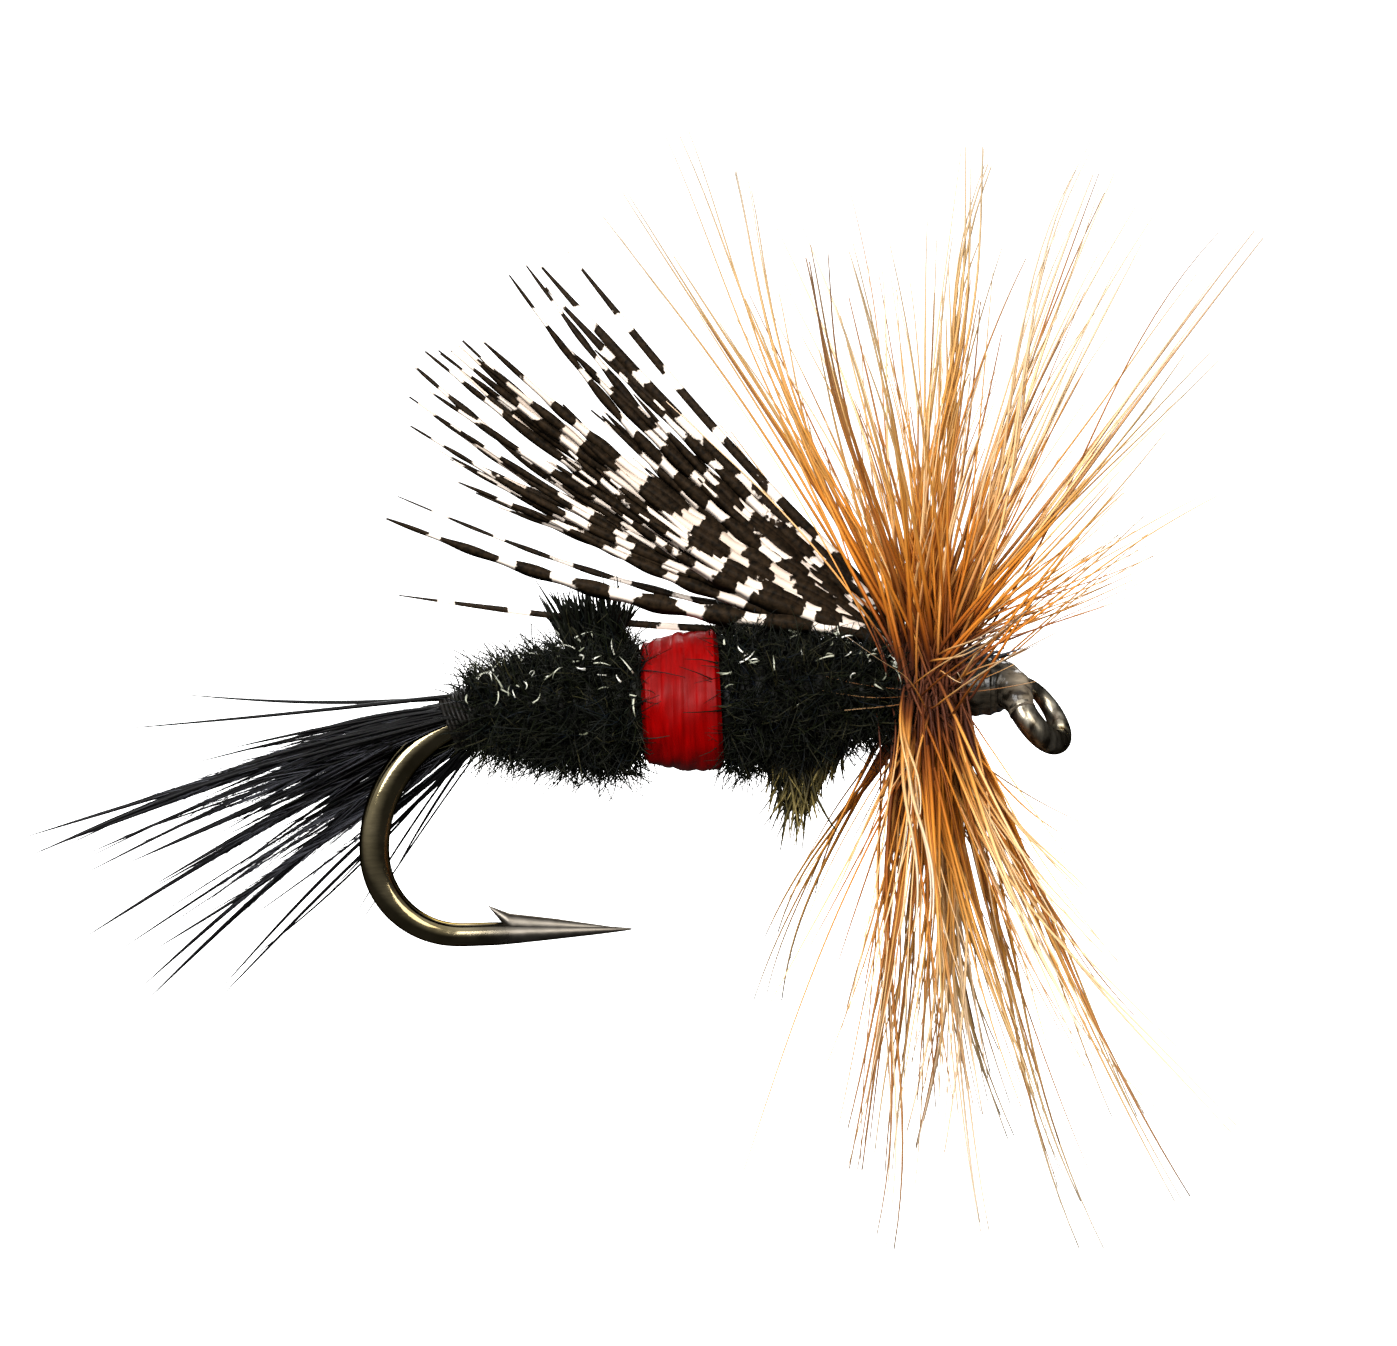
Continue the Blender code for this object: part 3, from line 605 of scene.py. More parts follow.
def make_hook(paint):
    """Bronze wire with needle point, cut barb, forged bend and turned-down eye."""
    upper = np.array([BEND_START_X, 0.0, SHANK_Z - UPPER_BEND_RADIUS])
    lower = upper + FORWARD * (LOWER_BEND_RADIUS - UPPER_BEND_RADIUS)
    forward = polar(POINT_RISE)
    tip = lower + polar(270.0 + POINT_RISE, LOWER_BEND_RADIUS) + forward * POINT_LENGTH
    shares = steps(20)
    needle = [tip - forward * POINT_TAPER * share for share in shares]
    radii = [mix(0.02 * MM, POINT_RADIUS, share ** 0.85) for share in shares]
    bend = arc(lower, LOWER_BEND_RADIUS, 270.0 + POINT_RISE, 180.0, 40)
    bend += arc(upper, UPPER_BEND_RADIUS, 180.0, 90.0, 48)[1:]
    spread = steps(len(bend))
    thickening = mix(POINT_RADIUS, WIRE_RADIUS, smooth(spread * 2.5))
    radii += list(thickening * mix(1.0, FORGED_SPREAD, np.sin(spread * math.pi)))
    neck = [np.array([-1.25 * MM, 0.0, SHANK_Z]), np.array([-1.1 * EYE_RADIUS, 0.0, SHANK_Z])]
    radii += [WIRE_RADIUS, mix(WIRE_RADIUS, EYE_WIRE_RADIUS, 0.6)]
    ring = eye_ring()
    ring_radii = [EYE_WIRE_RADIUS, EYE_WIRE_RADIUS, EYE_END_RADIUS]
    radii += list(np.interp(steps(len(ring)), [0.0, 0.45, 1.0], ring_radii))
    path, size = smooth_path(needle + bend + neck + ring, radii, 0.06 * MM)
    path[0] = tip
    size[0] = 0.012 * MM
    wire = Piece()
    wire.tubes([path], [size], sides=28, reference=carried_normals(path)[None])
    add_barb(wire, tip, forward, polar(90.0 + POINT_RISE))
    forge(wire.build("hook_wire", [paint], "hook_bronze", "hook"))


def add_barb(wire, tip, forward, lift):
    """Wedge cut from the top of the point: it swells from the needle back to a raised barb (in mm)."""
    start = 0.25
    end = 3.03
    behind = np.linspace(start, end, 48)
    top = np.interp(behind, [start, 1.65, 2.57, end], [0.035, 0.285, 0.42, 0.61])
    under = np.interp(behind, [start, 2.5, 2.74, end], [0.0, -0.05, 0.22, 0.60])
    half = np.interp(behind, [start, 1.65, 2.6, end], [0.02, 0.12, 0.15, 0.012])
    turn = np.linspace(0.0, 2.0 * np.pi, 18, endpoint=False)
    rise = ((top + under) / 2.0)[:, None] + ((top - under) / 2.0)[:, None] * np.cos(turn)
    across = half[:, None] * np.sin(turn)
    place = lift * rise[..., None] + FAR * across[..., None] - forward * behind[:, None, None]
    wire.skin(tip + place[None] * MM, np.zeros((*rise.shape, 2)))


def forge(hook):
    """Press the bend flat on both sides with rounded edges, easing in below the tail."""
    count = len(hook.data.vertices)
    points = np.zeros(count * 3, np.float32)
    hook.data.vertices.foreach_get("co", points)
    points = points.reshape(count, 3)
    share = smooth((BEND_START_X - 1.0 * MM - points[:, 0]) / (0.8 * MM))
    ratio = np.abs(points[:, 1] / FORGED_HALF_THICKNESS)
    pressed = points[:, 1] / (1.0 + ratio ** 3) ** (1.0 / 3.0)
    points[:, 1] = mix(points[:, 1], pressed, share)
    hook.data.vertices.foreach_set("co", points.ravel())
    hook.data.update()


# ---------------- thread, floss and head

def coil(low, high, turns, radius, per_turn=28, phase=0.0):
    """Path of a coil about the shank from x low to high, and its outward directions."""
    share = steps(int(turns * per_turn) + 1)
    out = around(phase + 360.0 * turns * share)
    distance = np.interp(share, steps(np.size(radius)), np.atleast_1d(radius))
    path = out * distance[:, None] + UP * SHANK_Z
    path[:, 0] = mix(low, high, share)
    return path, out


def make_wraps(paint):
    """Fine turns of thread over the roots of the tail, round the bend's start, and over those of the wing."""
    low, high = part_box("tail_tie_wraps")
    lean = 107.0
    turns = 7
    share = np.linspace(-0.5, 0.5, turns * 28)[:, None]
    turn = 2.0 * math.pi * turns * share
    out = polar(lean) * np.cos(turn) + FAR * np.sin(turn)
    path = np.array(low + high) / 2.0 + polar(lean + 90.0) * (share * 0.62 * MM)
    path = path + out * ((high.y - low.y) / 2.0 - THREAD_RADIUS)
    tube_piece("tail_wraps", paint, "tying_thread", "tail_tie_wraps", [path], WRAP_RADIUS,
               sides=10, reference=out[None])
    low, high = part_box("wing_tie_wraps")
    path, out = coil(low.x, high.x + 0.10 * MM, 6, (high.y - low.y) / 2.0 - THREAD_RADIUS)
    tube_piece("wing_wraps", paint, "tying_thread", "wing_tie_wraps", [path], WRAP_RADIUS,
               sides=10, reference=out[None])


def make_floss(paint):
    """Swelling band of flat wound floss with soft ridges."""
    low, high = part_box("floss_band")
    edge = 0.10 * MM
    relief = 0.022 * MM
    turns = 7.0
    share = steps(120)[:, None]
    turn = np.linspace(0.0, 2.0 * np.pi, 144, endpoint=False)[None, ::-1]
    x = mix(low.x, high.x, share)
    stations = [low.x, low.x + edge, mix(low.x, high.x, 0.5), high.x - edge, high.x]
    ridge = np.abs(np.sin(np.pi * (share * turns - turn / (2.0 * math.pi)))) ** 0.6
    lumps = np.sin(turn * 3.0 + share * 9.0) * np.sin(turn * 7.0 - share * 17.0)
    radius = (high.z - low.z) / 2.0 * np.interp(x, stations, [0.74, 0.86, 0.97, 1.0, 0.9])
    radius = radius + (ridge - 1.0 + lumps) * relief
    y = radius * np.sin(turn)
    rings = np.stack([np.broadcast_to(x, y.shape), y, SHANK_Z + radius * np.cos(turn)], axis=-1)
    marks = np.stack(np.broadcast_arrays(share, turn / (2.0 * np.pi)), axis=-1)
    band = Piece()
    band.skin(rings[None], marks)
    band.build("floss_wrap", [paint], "red_floss", "floss_band")


def make_head(paint, web):
    """Thread head under a glossy coat that runs on over the neck to the eye, and trimmed butts above it."""
    low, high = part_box("head_cement")
    radius = (high.z - low.z) / 2.0
    rear = low.x / MM
    stations = (
        (rear - 0.24, 0.0, 0.0, 0.85), (rear, 0.0, 0.0, 1.08), (-0.95, 0.0, -0.01, 1.06),
        (-0.70, -0.06, -0.03, 0.92), (-0.52, -0.20, -0.10, 0.74), (-0.45, -0.47, -0.28, 0.57),
        (-0.36, -0.64, -0.53, 0.49))
    points = [np.array([x, y, rise]) * MM + UP * SHANK_Z for x, y, rise, _ in stations]
    path, size = smooth_path(points, [radius * share for *_, share in stations], 0.02 * MM)
    wander = np.sin(np.arange(len(size)) * 0.42) * 0.012 * MM
    head = Piece()
    head.tubes([path], [size + wander], sides=40, reference=carried_normals(path)[None])
    rng = np.random.default_rng(77)
    count = 44
    scatter = rng.normal(0.0, 1.0, (count, 3)) * [0.16, 0.20, 0.09] * MM
    starts = np.array([(rear - 0.15) * MM, 0.0, SHANK_Z + radius * 0.8]) + scatter
    ends = starts + np.array([0.80, 0.0, 0.20]) * MM * rng.uniform(0.5, 1.15, count)[:, None]
    ends = ends + rng.normal(0.0, 0.08 * MM, (count, 3))
    butts = mix(starts[:, None], ends[:, None], steps(4)[None, :, None])
    head.tubes(butts, 0.028 * MM * np.array([1.0, 1.0, 0.8, 0.4]), seed=rng.random(count), sides=5, slot=1)
    head.build("head_coat", [paint, web], "head_varnish", "head_cement", "head_thread")


# ---------------- herl
HERL_PITCH = 0.62 * MM
FLUES_PER_TURN = 480
# share of the flues made as pale painted highlights
PAINTED_GLINTS_PER_FLUE = 0.085
CORE_RADIUS = 0.27 * MM
CORE_DEPTH = 0.66 * MM
# Depth of the root, length, radius and lie of a flue
PILE = (0.52 * MM, 0.86 * MM, 0.021 * MM, 0.55)
# painted highlights: short pale flues that stand for glints of light
PAINTED_GLINTS = (0.05 * MM, 0.34 * MM, 0.024 * MM, 1.5)


def herl_profile(low, high, big, swell_forward):
    """Function of x that gives the outer radius of a wound herl section."""
    def outer(x):
        share = (x - low) / (high - low)
        if not swell_forward:
            share = 1.0 - share
        return big * mix(0.52, 1.0, np.clip(share * 1.3, 0.0, 1.0) ** 0.75)
    return outer


def herl_strand(name, node, wound, seed, paints):
    """One wound strand of herl: a dark core, a dense pile of flue over it and a few pale flues that are
    painted highlights, mostly on its top.
    """
    rng = np.random.default_rng(seed)
    low, high, phase, outer = wound
    turns = (high - low) / HERL_PITCH
    path, out = coil(low, high, turns, outer(np.linspace(low, high, 40)) - CORE_DEPTH, 24, phase)
    strand = Piece()
    strand.tubes([path], CORE_RADIUS, seed=[0.1], sides=7, reference=out[None])
    count = int(FLUES_PER_TURN * turns)
    strand.tubes(*flues(rng, wound, count, *PILE), sides=3)
    # a few flues painted pale as highlights
    few = int(count * PAINTED_GLINTS_PER_FLUE)
    paths, radii, _, seeds = flues(rng, wound, few, *PAINTED_GLINTS)
    x = paths[:, 0, 0]
    z = paths[:, 0, 2]
    # painted highlights kept mostly to the top of the herl, where the light falls, and in patches
    upper = z > SHANK_Z + rng.normal(0.3 * MM, 0.35 * MM, few)
    cluster = np.sin(x / (0.42 * MM)) * np.sin(z / (0.30 * MM) + 1.0) > rng.normal(0.0, 0.3, few)
    shown = upper & cluster
    strand.tubes(paths[shown], radii[shown], None, seeds[shown], slot=1)
    strand.build(name, paints, "peacock_herl", node)


def flues(rng, wound, count, depth, reach, thickness, lie):
    """Paths, radii, shares and seeds of flues rooted a depth below a wound strand's surface."""
    low, high, phase, outer = wound
    share = rng.random(count)
    x = mix(low, high, share) + rng.normal(0.0, 0.10 * MM, count)
    clock = phase + 360.0 * ((high - low) / HERL_PITCH) * share + rng.normal(0.0, 12.0, count)
    out = around(clock)
    round_about = around(clock + 90.0)
    lumps = 0.16 * MM * np.sin(clock * 0.09 + x / (0.21 * MM)) * np.sin(x / (0.34 * MM))
    base = out * (outer(np.clip(x, low, high)) - depth + lumps)[:, None] + UP * SHANK_Z
    base[:, 0] += x
    rear_end = np.clip((low + 0.4 * MM - x) / (0.4 * MM), 0.0, 1.0)
    front_end = np.clip((x - high + 0.3 * MM) / (0.3 * MM), 0.0, 1.0)
    tilt = (rng.normal(0.0, lie, count) + 0.4 * (rear_end - front_end))[:, None]
    twist = rng.normal(0.2, lie, count)[:, None]
    start = unit(out + FORWARD * tilt + round_about * twist)
    curl = FORWARD * rng.normal(-0.2, 1.0, count)[:, None]
    curl = curl + round_about * rng.normal(0.0, 1.0, count)[:, None]
    curl = unit(curl - out * 0.5)
    length = reach * (0.6 + 0.85 * rng.random(count) ** 2.2)[:, None, None]
    step = steps(5)[None, :, None]
    paths = base[:, None] + length * (start[:, None] * step + curl[:, None] * 0.45 * step ** 2.2)
    radii = thickness * (1.0 - 0.72 * steps(5)) * rng.uniform(0.7, 1.3, count)[:, None]
    return paths, radii, None, rng.random(count)


def make_tuft(name, node, seed, direction, length, spread, gather, count, paint, slot_name):
    """Loose flues that lean out of the wound herl in one direction; gather draws their tips together."""
    rng = np.random.default_rng(seed)
    heading = unit(np.array(direction))
    offset = rng.uniform(-1.0, 1.0, (count, 3)) * [1.0, 0.6, 0.2]
    base = np.array(middle(node)) - heading * length * 0.6 + offset * spread
    aim = unit(heading + rng.normal(0.0, 0.09, (count, 3)) - offset * [gather, gather, 0.0])
    bend = rng.normal(0.0, 0.16, (count, 3))
    step = steps(7)[None, :, None]
    size = length * rng.uniform(0.6, 1.2, count) * (1.0 - max(gather, 0.0) * np.abs(offset[:, 0]))
    paths = base[:, None] + size[:, None, None] * (aim[:, None] * step + bend[:, None] * step ** 2)
    taper = np.interp(steps(7), [0.0, 0.6, 1.0], [1.0, 0.85, 0.15])
    radii = 0.036 * MM * taper * rng.uniform(0.6, 1.5, count)[:, None]
    tube_piece(name, paint, slot_name, node, paths, radii, seed=rng.random(count), flat=0.6)


def make_body(herl, painted_glint, olive):
    """Both herl sections, each run on past its CAD box at one end, and their loose tufts."""
    for section, swell, back, ahead, seed in (("rear", True, 0.35, 0.0, 11), ("front", False, 0.0, 0.40, 21)):
        low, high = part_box(f"{section}_herl_a")
        other_low, other_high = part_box(f"{section}_herl_b")
        start = min(low.x, other_low.x) + 0.1 * MM - back * MM
        end = max(high.x, other_high.x) - 0.12 * MM + ahead * MM
        outer = herl_profile(start, end, (high.z - low.z) / 2.0 * 1.04, swell)
        for letter, phase in (("a", 0.0), ("b", 180.0)):
            herl_strand(f"{section}_herl_pile_{letter}", f"{section}_herl_{letter}",
                        (start, end, phase, outer), seed + ord(letter), [herl, painted_glint])
    make_tuft("rear_herl_tuft", "rear_herl_tip", 31, (-0.10, -0.1, 1.0), 1.0 * MM, 0.54 * MM, -0.30, 300,
              herl, "peacock_herl")
    make_tuft("front_herl_tuft", "front_herl_tip", 32, (-0.22, -0.1, -1.0), 1.95 * MM, 0.90 * MM, 0.44, 380,
              olive, "herl_tip")


# ---------------- tail

TAIL_POINTS = 18
TAIL_WEBBED = 6
# Radius of the bold barbs in each bundle, and its numbers of bold, fine and short barbs
TAIL_BUNDLES = (
    (0.105 * MM, 3, 2, 22), (0.090 * MM, 3, 2, 26), (0.086 * MM, 3, 2, 28), (0.088 * MM, 3, 2, 26),
    (0.080 * MM, 3, 2, 20), (0.062 * MM, 2, 2, 8), (0.044 * MM, 2, 1, 2), (0.028 * MM, 1, 1, 1),
)
FINE_RADIUS = 0.026 * MM
SHORT_RADIUS = 0.038 * MM
STRAY_RADIUS = 0.046 * MM
WEB_PER_BARB = 60
WEB_SPAN = (0.05, 0.66)
WEB_LENGTH = 0.9 * MM
WEB_RADIUS = 0.007 * MM
WEB_LEAN = 4.0


def node_ends(node, outward=False):
    """Root and tip of a slim CAD node that runs back from its root, or outward from the shank."""
    points = np.array([vertex.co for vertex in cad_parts[node].data.vertices])
    distance = np.hypot(points[:, 1], points[:, 2] - SHANK_Z)
    order = distance.argsort() if outward else points[:, 0].argsort()[::-1]
    return points[order[:6]].mean(0), points[order[-6:]].mean(0)


def tail_paths(rng, root, tip, count, spread, shortest):
    """Barbs from one root that fan to tips round a middle one, with a slight droop."""
    length = np.linalg.norm(tip - root)
    heading = (tip - root) / length
    step = steps(TAIL_POINTS)[None, :, None]
    aim = unit(heading + rng.normal(0.0, spread, (count, 3)) * [0.3, 0.8, 1.0])
    size = length * rng.uniform(shortest, 1.10, count)[:, None, None]
    base = root + rng.normal(0.0, 0.07 * MM, (count, 3))
    droop = UP * rng.normal(0.008, 0.016, count)[:, None]
    sway = FAR * rng.normal(0.0, 0.03, count)[:, None]
    bow = (droop + sway)[:, None] * np.sin(step * math.pi)
    return base[:, None] + size * (aim[:, None] * step + bow)


def web_fibres(rng, paths):
    """Fine side fibres along the lower part of each barb, leaning towards its tip."""
    strands, count = paths.shape[:2]
    owner = np.repeat(np.arange(strands), WEB_PER_BARB)
    where = rng.uniform(*WEB_SPAN, len(owner)) * (count - 1)
    whole = np.minimum(where.astype(int), count - 2)
    part = (where - whole)[:, None]
    base = paths[owner, whole] * (1.0 - part) + paths[owner, whole + 1] * part
    ahead = unit(paths[owner, whole + 1] - paths[owner, whole])
    side = unit(np.cross(ahead, rng.normal(0.0, 1.0, (len(owner), 3))))
    aim = unit(ahead * WEB_LEAN + side)
    step = steps(4)[None, :, None]
    size = WEB_LENGTH * rng.uniform(0.5, 1.2, len(owner))[:, None, None]
    made = base[:, None] + size * (aim[:, None] * step + ahead[:, None] * 0.3 * step ** 2)
    return made, WEB_RADIUS * (1.0 - 0.7 * steps(4)), None, rng.random(len(owner))


def tail_radii(rng, count, thickness):
    """Barb radius that stays full until near its needle tip."""
    taper = np.interp(steps(TAIL_POINTS), [0.0, 0.15, 0.6, 0.85, 1.0], [0.8, 1.0, 0.92, 0.55, 0.06])
    return thickness * taper * rng.uniform(0.75, 1.2, count)[:, None]


def make_tail(black, grey):
    """Bundles of black barbs with grey web at their roots, and the single barbs."""
    for i, (thickness, bold_count, fine_count, short_count) in enumerate(TAIL_BUNDLES, 1):
        node = f"tail_barbs_{i}"
        rng = np.random.default_rng(400 + i)
        root, tip = node_ends(node)
        bold = tail_paths(rng, root, tip, bold_count, 0.016, 0.82)
        fine = tail_paths(rng, root, tip, fine_count, 0.05, 0.60)
        short = tail_paths(rng, root, mix(root, tip, 0.62), short_count, 0.06, 0.45)
        bundle = Piece()
        kinds = (
            (bold, thickness, 0.8, 6, 0.7),
            (fine, FINE_RADIUS, 1.0, 4, 1.0),
            (short, SHORT_RADIUS, 0.7, 4, 1.0),
        )
        for paths, radius, tone, sides, flat in kinds:
            radii = tail_radii(rng, len(paths), radius)
            bundle.tubes(paths, radii, None, rng.random(len(paths)) * tone, sides, flat)
        for paths in (bold, fine) if i <= TAIL_WEBBED else ():
            bundle.tubes(*web_fibres(rng, paths), sides=3, slot=1)
        bundle.build(f"tail_bundle_{i}", [black, grey], "tail_barbs", node)
    for i in range(1, 3):
        node = f"tail_stray_barb_{i}"
        rng = np.random.default_rng(450 + i)
        paths = tail_paths(rng, *node_ends(node), 1, 0.0, 1.0)
        radii = tail_radii(rng, 1, STRAY_RADIUS) * np.linspace(1.3, 0.6, TAIL_POINTS)
        tube_piece(f"tail_single_{i}", black, "tail_barbs", node, paths, radii, seed=[0.3], sides=5)


# ---------------- wing

WING_POINTS = 80
WING_LOW_ANGLE = 21.5
WING_HIGH_ANGLE = 45.5
WING_EDGE_DROP = 4.0
WING_EDGE_RISE = 2.5
BAR_LENGTH = 1.36 * MM


def wing_barb_path(across, side, length, rng, angle=None):
    """Centreline of one wing barb, from its tie-in up over the herl and back along the fan."""
    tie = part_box("wing_tie_wraps")[1]
    root = np.array([tie.x - 0.05 * MM, 0.10 * MM * side, SHANK_Z + 0.5 * MM])
    knee = np.array([tie.x - 0.55 * MM, 0.18 * MM * side, SHANK_Z + mix(1.10, 1.35, across) * MM])
    if angle is None:
        angle = mix(WING_LOW_ANGLE, WING_HIGH_ANGLE, across) + rng.normal(0.0, 0.8)
    heading = polar(180.0 - angle)
    drift = FAR * side * mix(0.05, 0.12, rng.random())
    share = steps(WING_POINTS)[:, None]
    middle_share = math.sin(math.pi * across)
    bow = np.cross(heading, FAR) * rng.normal(mix(0.012, 0.05, middle_share), 0.012) * length
    crown = FAR * side * 0.35 * MM * middle_share
    path = knee + (heading + drift) * (length * share) + bow * np.sin(share * math.pi) + crown * share
    ease = smooth(share / 0.10)
    return mix(mix(root, knee, ease), path, ease)


def barred_width(share, bars, thickness, rng):
    """Half-width of a wing barb, fuller in its dark bars, with its outline along the barb."""
    outline = np.interp(share, [0.0, 0.08, 0.3, 0.6, 0.85, 1.0], [0.4, 0.75, 1.0, 0.74, 0.42, 0.12])
    swell = 1.0 - 0.22 * np.cos(2.0 * np.pi * bars)
    return thickness * outline * swell * rng.uniform(0.75, 1.15)


def make_wing_slip(name, node, side, seed, paint):
    """One slip: flat barbs that hold together near the root and part towards their tips."""
    rng = np.random.default_rng(seed)
    barbs = []
    share = steps(WING_POINTS)
    across = 0.0
    phase = rng.random()
    while across <= 1.0:
        members = rng.integers(3, 8)
        phase += rng.normal(0.12, 0.12) + (0.5 if rng.random() < 0.30 else 0.0)
        warp = rng.uniform(-0.22, 0.22, 2)
        number = rng.random()
        for member in range(members):
            full = mix(9.0, 11.6, math.sin(math.pi * min(across * 1.05, 1.0))) * MM
            reach = rng.uniform(0.88, 1.0) if rng.random() < 0.24 else rng.uniform(0.48, 0.80)
            path = wing_barb_path(across, side, full * reach, rng)
            bars = share * full * reach / BAR_LENGTH
            bars = bars + phase + member * (number - 0.5) * 0.10 + rng.normal(0.0, 0.03)
            bars = bars + warp[0] * np.sin(share * 9.0) + warp[1] * np.sin(share * 17.0)
            width = barred_width(share, bars, 0.165 * MM, rng)
            barbs.append((path, width, bars, number + rng.uniform(-0.2, 0.2)))
            across += rng.uniform(0.014, 0.030)
    edges = (
        (WING_LOW_ANGLE - WING_EDGE_DROP, 10.6 * MM, (0.14 - 0.045 * side) * MM),
        (WING_HIGH_ANGLE + WING_EDGE_RISE, 10.8 * MM, 0.16 * MM),
    )
    for angle, length, thickness in edges:
        path = wing_barb_path(0.5, side, length, rng, angle + side * 0.8)
        bars = share * length / BAR_LENGTH + rng.random()
        barbs.append((path, barred_width(share, bars, thickness, rng), bars, 0.9))
    paths, widths, bars, numbers = zip(*barbs)
    across_wing = np.array([[[0.35, 0.25 * side, 1.0]]])
    tube_piece(name, paint, "wing_barbs", node, paths, widths, share=bars, seed=numbers,
               flat=0.22, reference=across_wing)


def make_wing_barb(name, node, seed, thickness, number, paint, twins=1):
    """A bold barred barb that stands clear of the wing, as one or more strands side by side."""
    root, tip = node_ends(node)
    length = np.linalg.norm(tip - root)
    step = steps(40)[:, None]
    lift = np.cross((tip - root) / length, FAR)
    twin = np.arange(twins)[:, None, None]
    paths = root + (tip - root) * step * (1.0 - 0.05 * twin)
    paths = paths + lift * (np.sin(step * math.pi) * 0.02 * length + twin * 0.25 * MM * step)
    widths = thickness * np.interp(steps(40), [0.0, 0.15, 0.8, 1.0], [0.6, 1.0, 0.7, 0.15])
    bars = steps(40) * length / BAR_LENGTH * 0.85 + 0.31 * twin[..., 0] + seed * 0.37
    tube_piece(name, paint, "wing_barbs", node, paths, widths, share=bars, seed=[number] * twins,
               sides=5, flat=0.35, reference=np.array([[[0.3, 0.0, 1.0]]]))


def make_wing(paint):
    """Two slips and the single barbs along their edges."""
    make_wing_slip("wing_near", "wing_slip_near", -1.0, 51, paint)
    make_wing_slip("wing_far", "wing_slip_far", 1.0, 52, paint)
    make_wing_barb("wing_single_top_rear", "wing_barb_top_rear", 1, 0.155 * MM, 1.1, paint, 2)
    make_wing_barb("wing_single_top_front", "wing_barb_top_front", 2, 0.13 * MM, 1.0, paint)
    make_wing_barb("wing_single_low", "wing_barb_low", 3, 0.10 * MM, 0.9, paint)


# ---------------- hackle

HACKLE_TUFTS = 24
HACKLE_LOCKS = 2
BARBS_PER_LOCK = 7
HACKLE_VEIL = 5
HACKLE_REACH = 11.5 * MM
QUILL_RADIUS = 0.085 * MM
QUILL_TURNS = 5


def clock_of(directions):
    """Clock angles of directions about the shank, in degrees from the top towards +Y."""
    return np.degrees(np.arctan2(directions[:, 1], directions[:, 2]))


def hackle_paths(rng, root, aims, lengths, wrap_angle, offset, lock):
    """Barbs that leave the wound quill round the shank and turn at once into their own directions.

    Those of a lock sway together and draw towards one another, so that it closes like a flame.
    """
    count = len(aims)
    own = 0.35 if lock else 1.0
    clock = clock_of(aims) + rng.normal(0.0, wrap_angle, count) + offset
    out = around(clock)
    base = out * 0.55 * MM + np.array([root[0], 0.0, SHANK_Z])
    base[:, 0] += rng.normal(-0.25 * MM, 0.22 * MM, count)
    share = steps(26) ** 1.25
    step = share[None, :, None]
    turned = smooth(step / 0.13)
    bend = rng.normal(0.0, 0.10 * own, (count, 3)) + rng.normal(0.0, 0.09, 3) * (1.0 - own)
    curve = bend[:, None] * step ** 1.5
    flare = np.sign(aims[:, None]) * FORWARD * 0.16 * (step - 0.45)
    ripples = rng.uniform(4.0, 9.0, (count, 1, 1))
    wave = np.sin(step * ripples + rng.uniform(0.0, 6.0, (count, 1, 1)))
    wave = wave * rng.normal(0.0, 0.035 * own, (count, 1, 3))
    sway = np.sin(step * rng.uniform(3.0, 6.0) + rng.uniform(0.0, 6.0)) * rng.normal(0.0, 0.11, 3)
    heading = out[:, None] * (1.0 - turned) * 0.6 + aims[:, None] * (turned + 0.15)
    heading = unit(heading + curve + flare + wave + sway)
    legs = (heading[:, 1:] + heading[:, :-1]) / 2.0 * np.diff(share)[None, :, None]
    travel = np.concatenate([np.zeros((count, 1, 3)), np.cumsum(legs, axis=1)], axis=1)
    paths = base[:, None] + travel * lengths[:, None, None]
    if lock:
        paths = paths + (base.mean(0) - base)[:, None] * smooth(step / 0.75) * 0.85
    return paths, np.broadcast_to(share, (count, len(share)))


def add_hackle(piece, rng, root, aims, lengths, wrap_angle, thickness, tone, offset=0.0, lock=False):
    """Add barbs to a piece, all near one tone; a short barb ends before the pale of the tips."""
    paths, share = hackle_paths(rng, root, aims, lengths, wrap_angle, offset, lock)
    seeds = np.clip(tone + rng.normal(0.0, 0.12, len(aims)), 0.0, 1.0)
    reach = share * (0.45 + 0.55 * lengths / HACKLE_REACH)[:, None]
    taper = np.interp(share, [0.0, 0.15, 0.5, 0.8, 1.0], [1.1, 1.0, 0.74, 0.54, 0.30])
    radii = thickness * taper * rng.uniform(0.65, 1.2, len(share))[:, None]
    piece.tubes(paths, radii, reach, seeds, flat=0.7)


def make_clump(number, paint):
    """One clump of the hackle, locks of barbs in a veil of finer and shorter ones; returns its two ends."""
    node = f"hackle_barbs_{number:02d}"
    rng = np.random.default_rng(600 + number)
    root, tip = node_ends(node, outward=True)
    clump = Piece()
    length = np.linalg.norm(tip - root) + 0.2 * MM
    upright = abs((tip - root)[2]) / length
    for _ in range(max(1, round(HACKLE_LOCKS * mix(0.3, 1.0, upright ** 1.5)))):
        lock = unit(tip - root + length * rng.normal(0.0, 0.08, 3))
        aims = unit(lock + rng.normal(0.0, 0.022, (BARBS_PER_LOCK, 3)))
        lengths = length * rng.uniform(0.90, 1.10) * rng.uniform(0.42, 1.0, BARBS_PER_LOCK)
        lengths[:2] = lengths.max()
        add_hackle(clump, rng, root, aims, lengths, 26.0, 0.043 * MM, rng.random(), lock=True)
    veil = round(HACKLE_VEIL * mix(0.3, 1.0, upright))
    aims = unit(tip - root + length * rng.normal(0.0, 0.16, (veil, 3)))
    add_hackle(clump, rng, root, aims, length * rng.uniform(0.35, 0.75, veil), 40.0, 0.028 * MM, 0.95)
    clump.build(f"hackle_clump_{number:02d}", [paint], "hackle_barbs", node)
    return root, tip


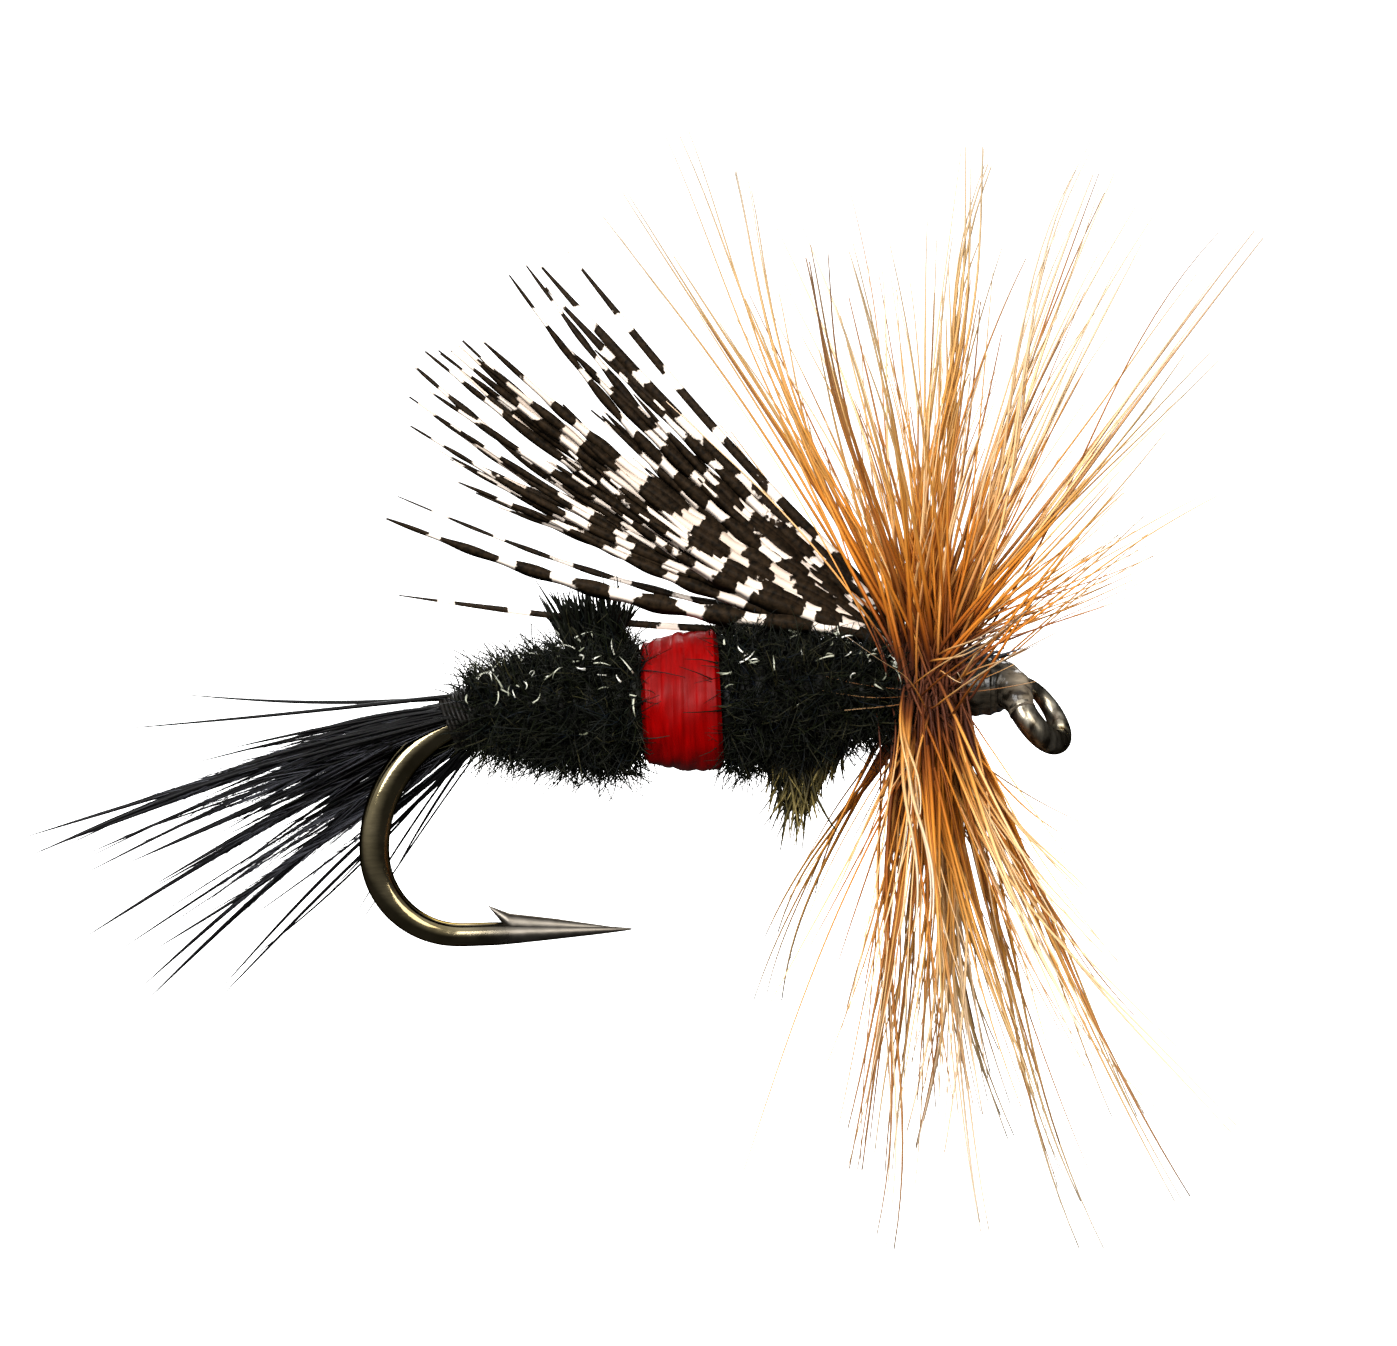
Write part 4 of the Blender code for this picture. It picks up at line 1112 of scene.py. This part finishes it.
def make_loose_barbs(ends, paint):
    """Single barbs between the clumps, brushes at both sides of the hub, leaning locks and pale strays."""
    rng = np.random.default_rng(700)
    loose = Piece()
    for root, tip in ends:
        reach = tip - root
        length = np.linalg.norm(reach)
        upright = unit(reach + length * UP * 0.8 * np.sign(reach[2]))
        aims = unit(upright + rng.normal(0.0, 1.0, (2, 3)) * [0.30, 0.25, 0.1])
        add_hackle(loose, rng, root, aims, length * rng.uniform(0.7, 1.12, 2), 50.0, 0.026 * MM, rng.random())
    hub = middle("hackle_stem")
    brush = 36
    for side in (-90.0, 90.0):
        for height in (-1.0, 1.0):
            sideways = rng.normal(0.0, 22.0, brush) + side
            aims = unit(UP * height + rng.normal(0.0, 1.0, (brush, 3)) * [0.22, 0.10, 0.1])
            offset = sideways - clock_of(aims)
            lengths = rng.uniform(3.0, 9.5, brush) * MM
            add_hackle(loose, rng, hub, aims, lengths, 0.0, 0.034 * MM, 0.42, offset)
    for lean in (50.0, 58.0, 66.0, 75.0):
        toward = polar(90.0 - lean) + FAR * rng.normal(0.0, 0.2)
        aims = unit(toward + rng.normal(0.0, 0.05, (BARBS_PER_LOCK, 3)))
        lengths = rng.uniform(6.0, 8.2) * rng.uniform(0.45, 1.0, BARBS_PER_LOCK) * MM
        add_hackle(loose, rng, hub, aims, lengths, 40.0, 0.036 * MM, rng.random(), lock=True)
    strays = np.array([
        [-1.0, -0.2, -0.1], [-1.0, -0.3, 0.12], [-1.0, -0.1, 0.3], [1.0, -0.35, 0.42], [1.0, -0.2, 0.15]])
    lengths = rng.uniform(2.2, 4.4, len(strays)) * MM
    add_hackle(loose, rng, hub, unit(strays), lengths, 0.0, 0.020 * MM, 0.95, -90.0 - clock_of(strays))
    loose.build("hackle_loose_barbs", [paint], "hackle_barbs")


def make_hackle(barb_paint, quill_paint):
    """Wound quill, its clumps of barbs and the single barbs between them."""
    low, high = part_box("hackle_stem")
    radius = (high.y - low.y) / 2.0 - QUILL_RADIUS
    path, out = coil(low.x + QUILL_RADIUS, high.x - QUILL_RADIUS, QUILL_TURNS, radius)
    tube_piece("hackle_quill", quill_paint, "hackle_barbs", "hackle_stem", [path], QUILL_RADIUS,
               sides=10, reference=out[None])
    ends = [make_clump(number, barb_paint) for number in range(1, HACKLE_TUFTS + 1)]
    make_loose_barbs(ends, barb_paint)


# ---------------- build

def main():
    """Build every piece, then the floor under them."""
    bpy.context.scene.view_settings.view_transform = "Standard"
    make_camera()
    make_lights()
    thread = wound_paint("tying_thread")
    make_hook(bronze_paint())
    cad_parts["thread_base"].data.materials[0] = thread
    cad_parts["underbody"].data.materials[0] = wound_paint("underbody")
    make_wraps(thread)
    make_floss(floss_paint())
    web = fibre_paint("tail_web")
    make_head(varnish_paint(), web)
    # the pale herl flues are painted highlights
    make_body(fibre_paint("peacock_herl"), fibre_paint("herl_painted_glint"), fibre_paint("herl_tip"))
    make_tail(fibre_paint("tail_barbs"), web)
    make_wing(wing_paint())
    make_hackle(hackle_paint(), wound_paint("hackle_stem"))
    low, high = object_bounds()
    make_floor(low.z - 0.05 * MM)


main()
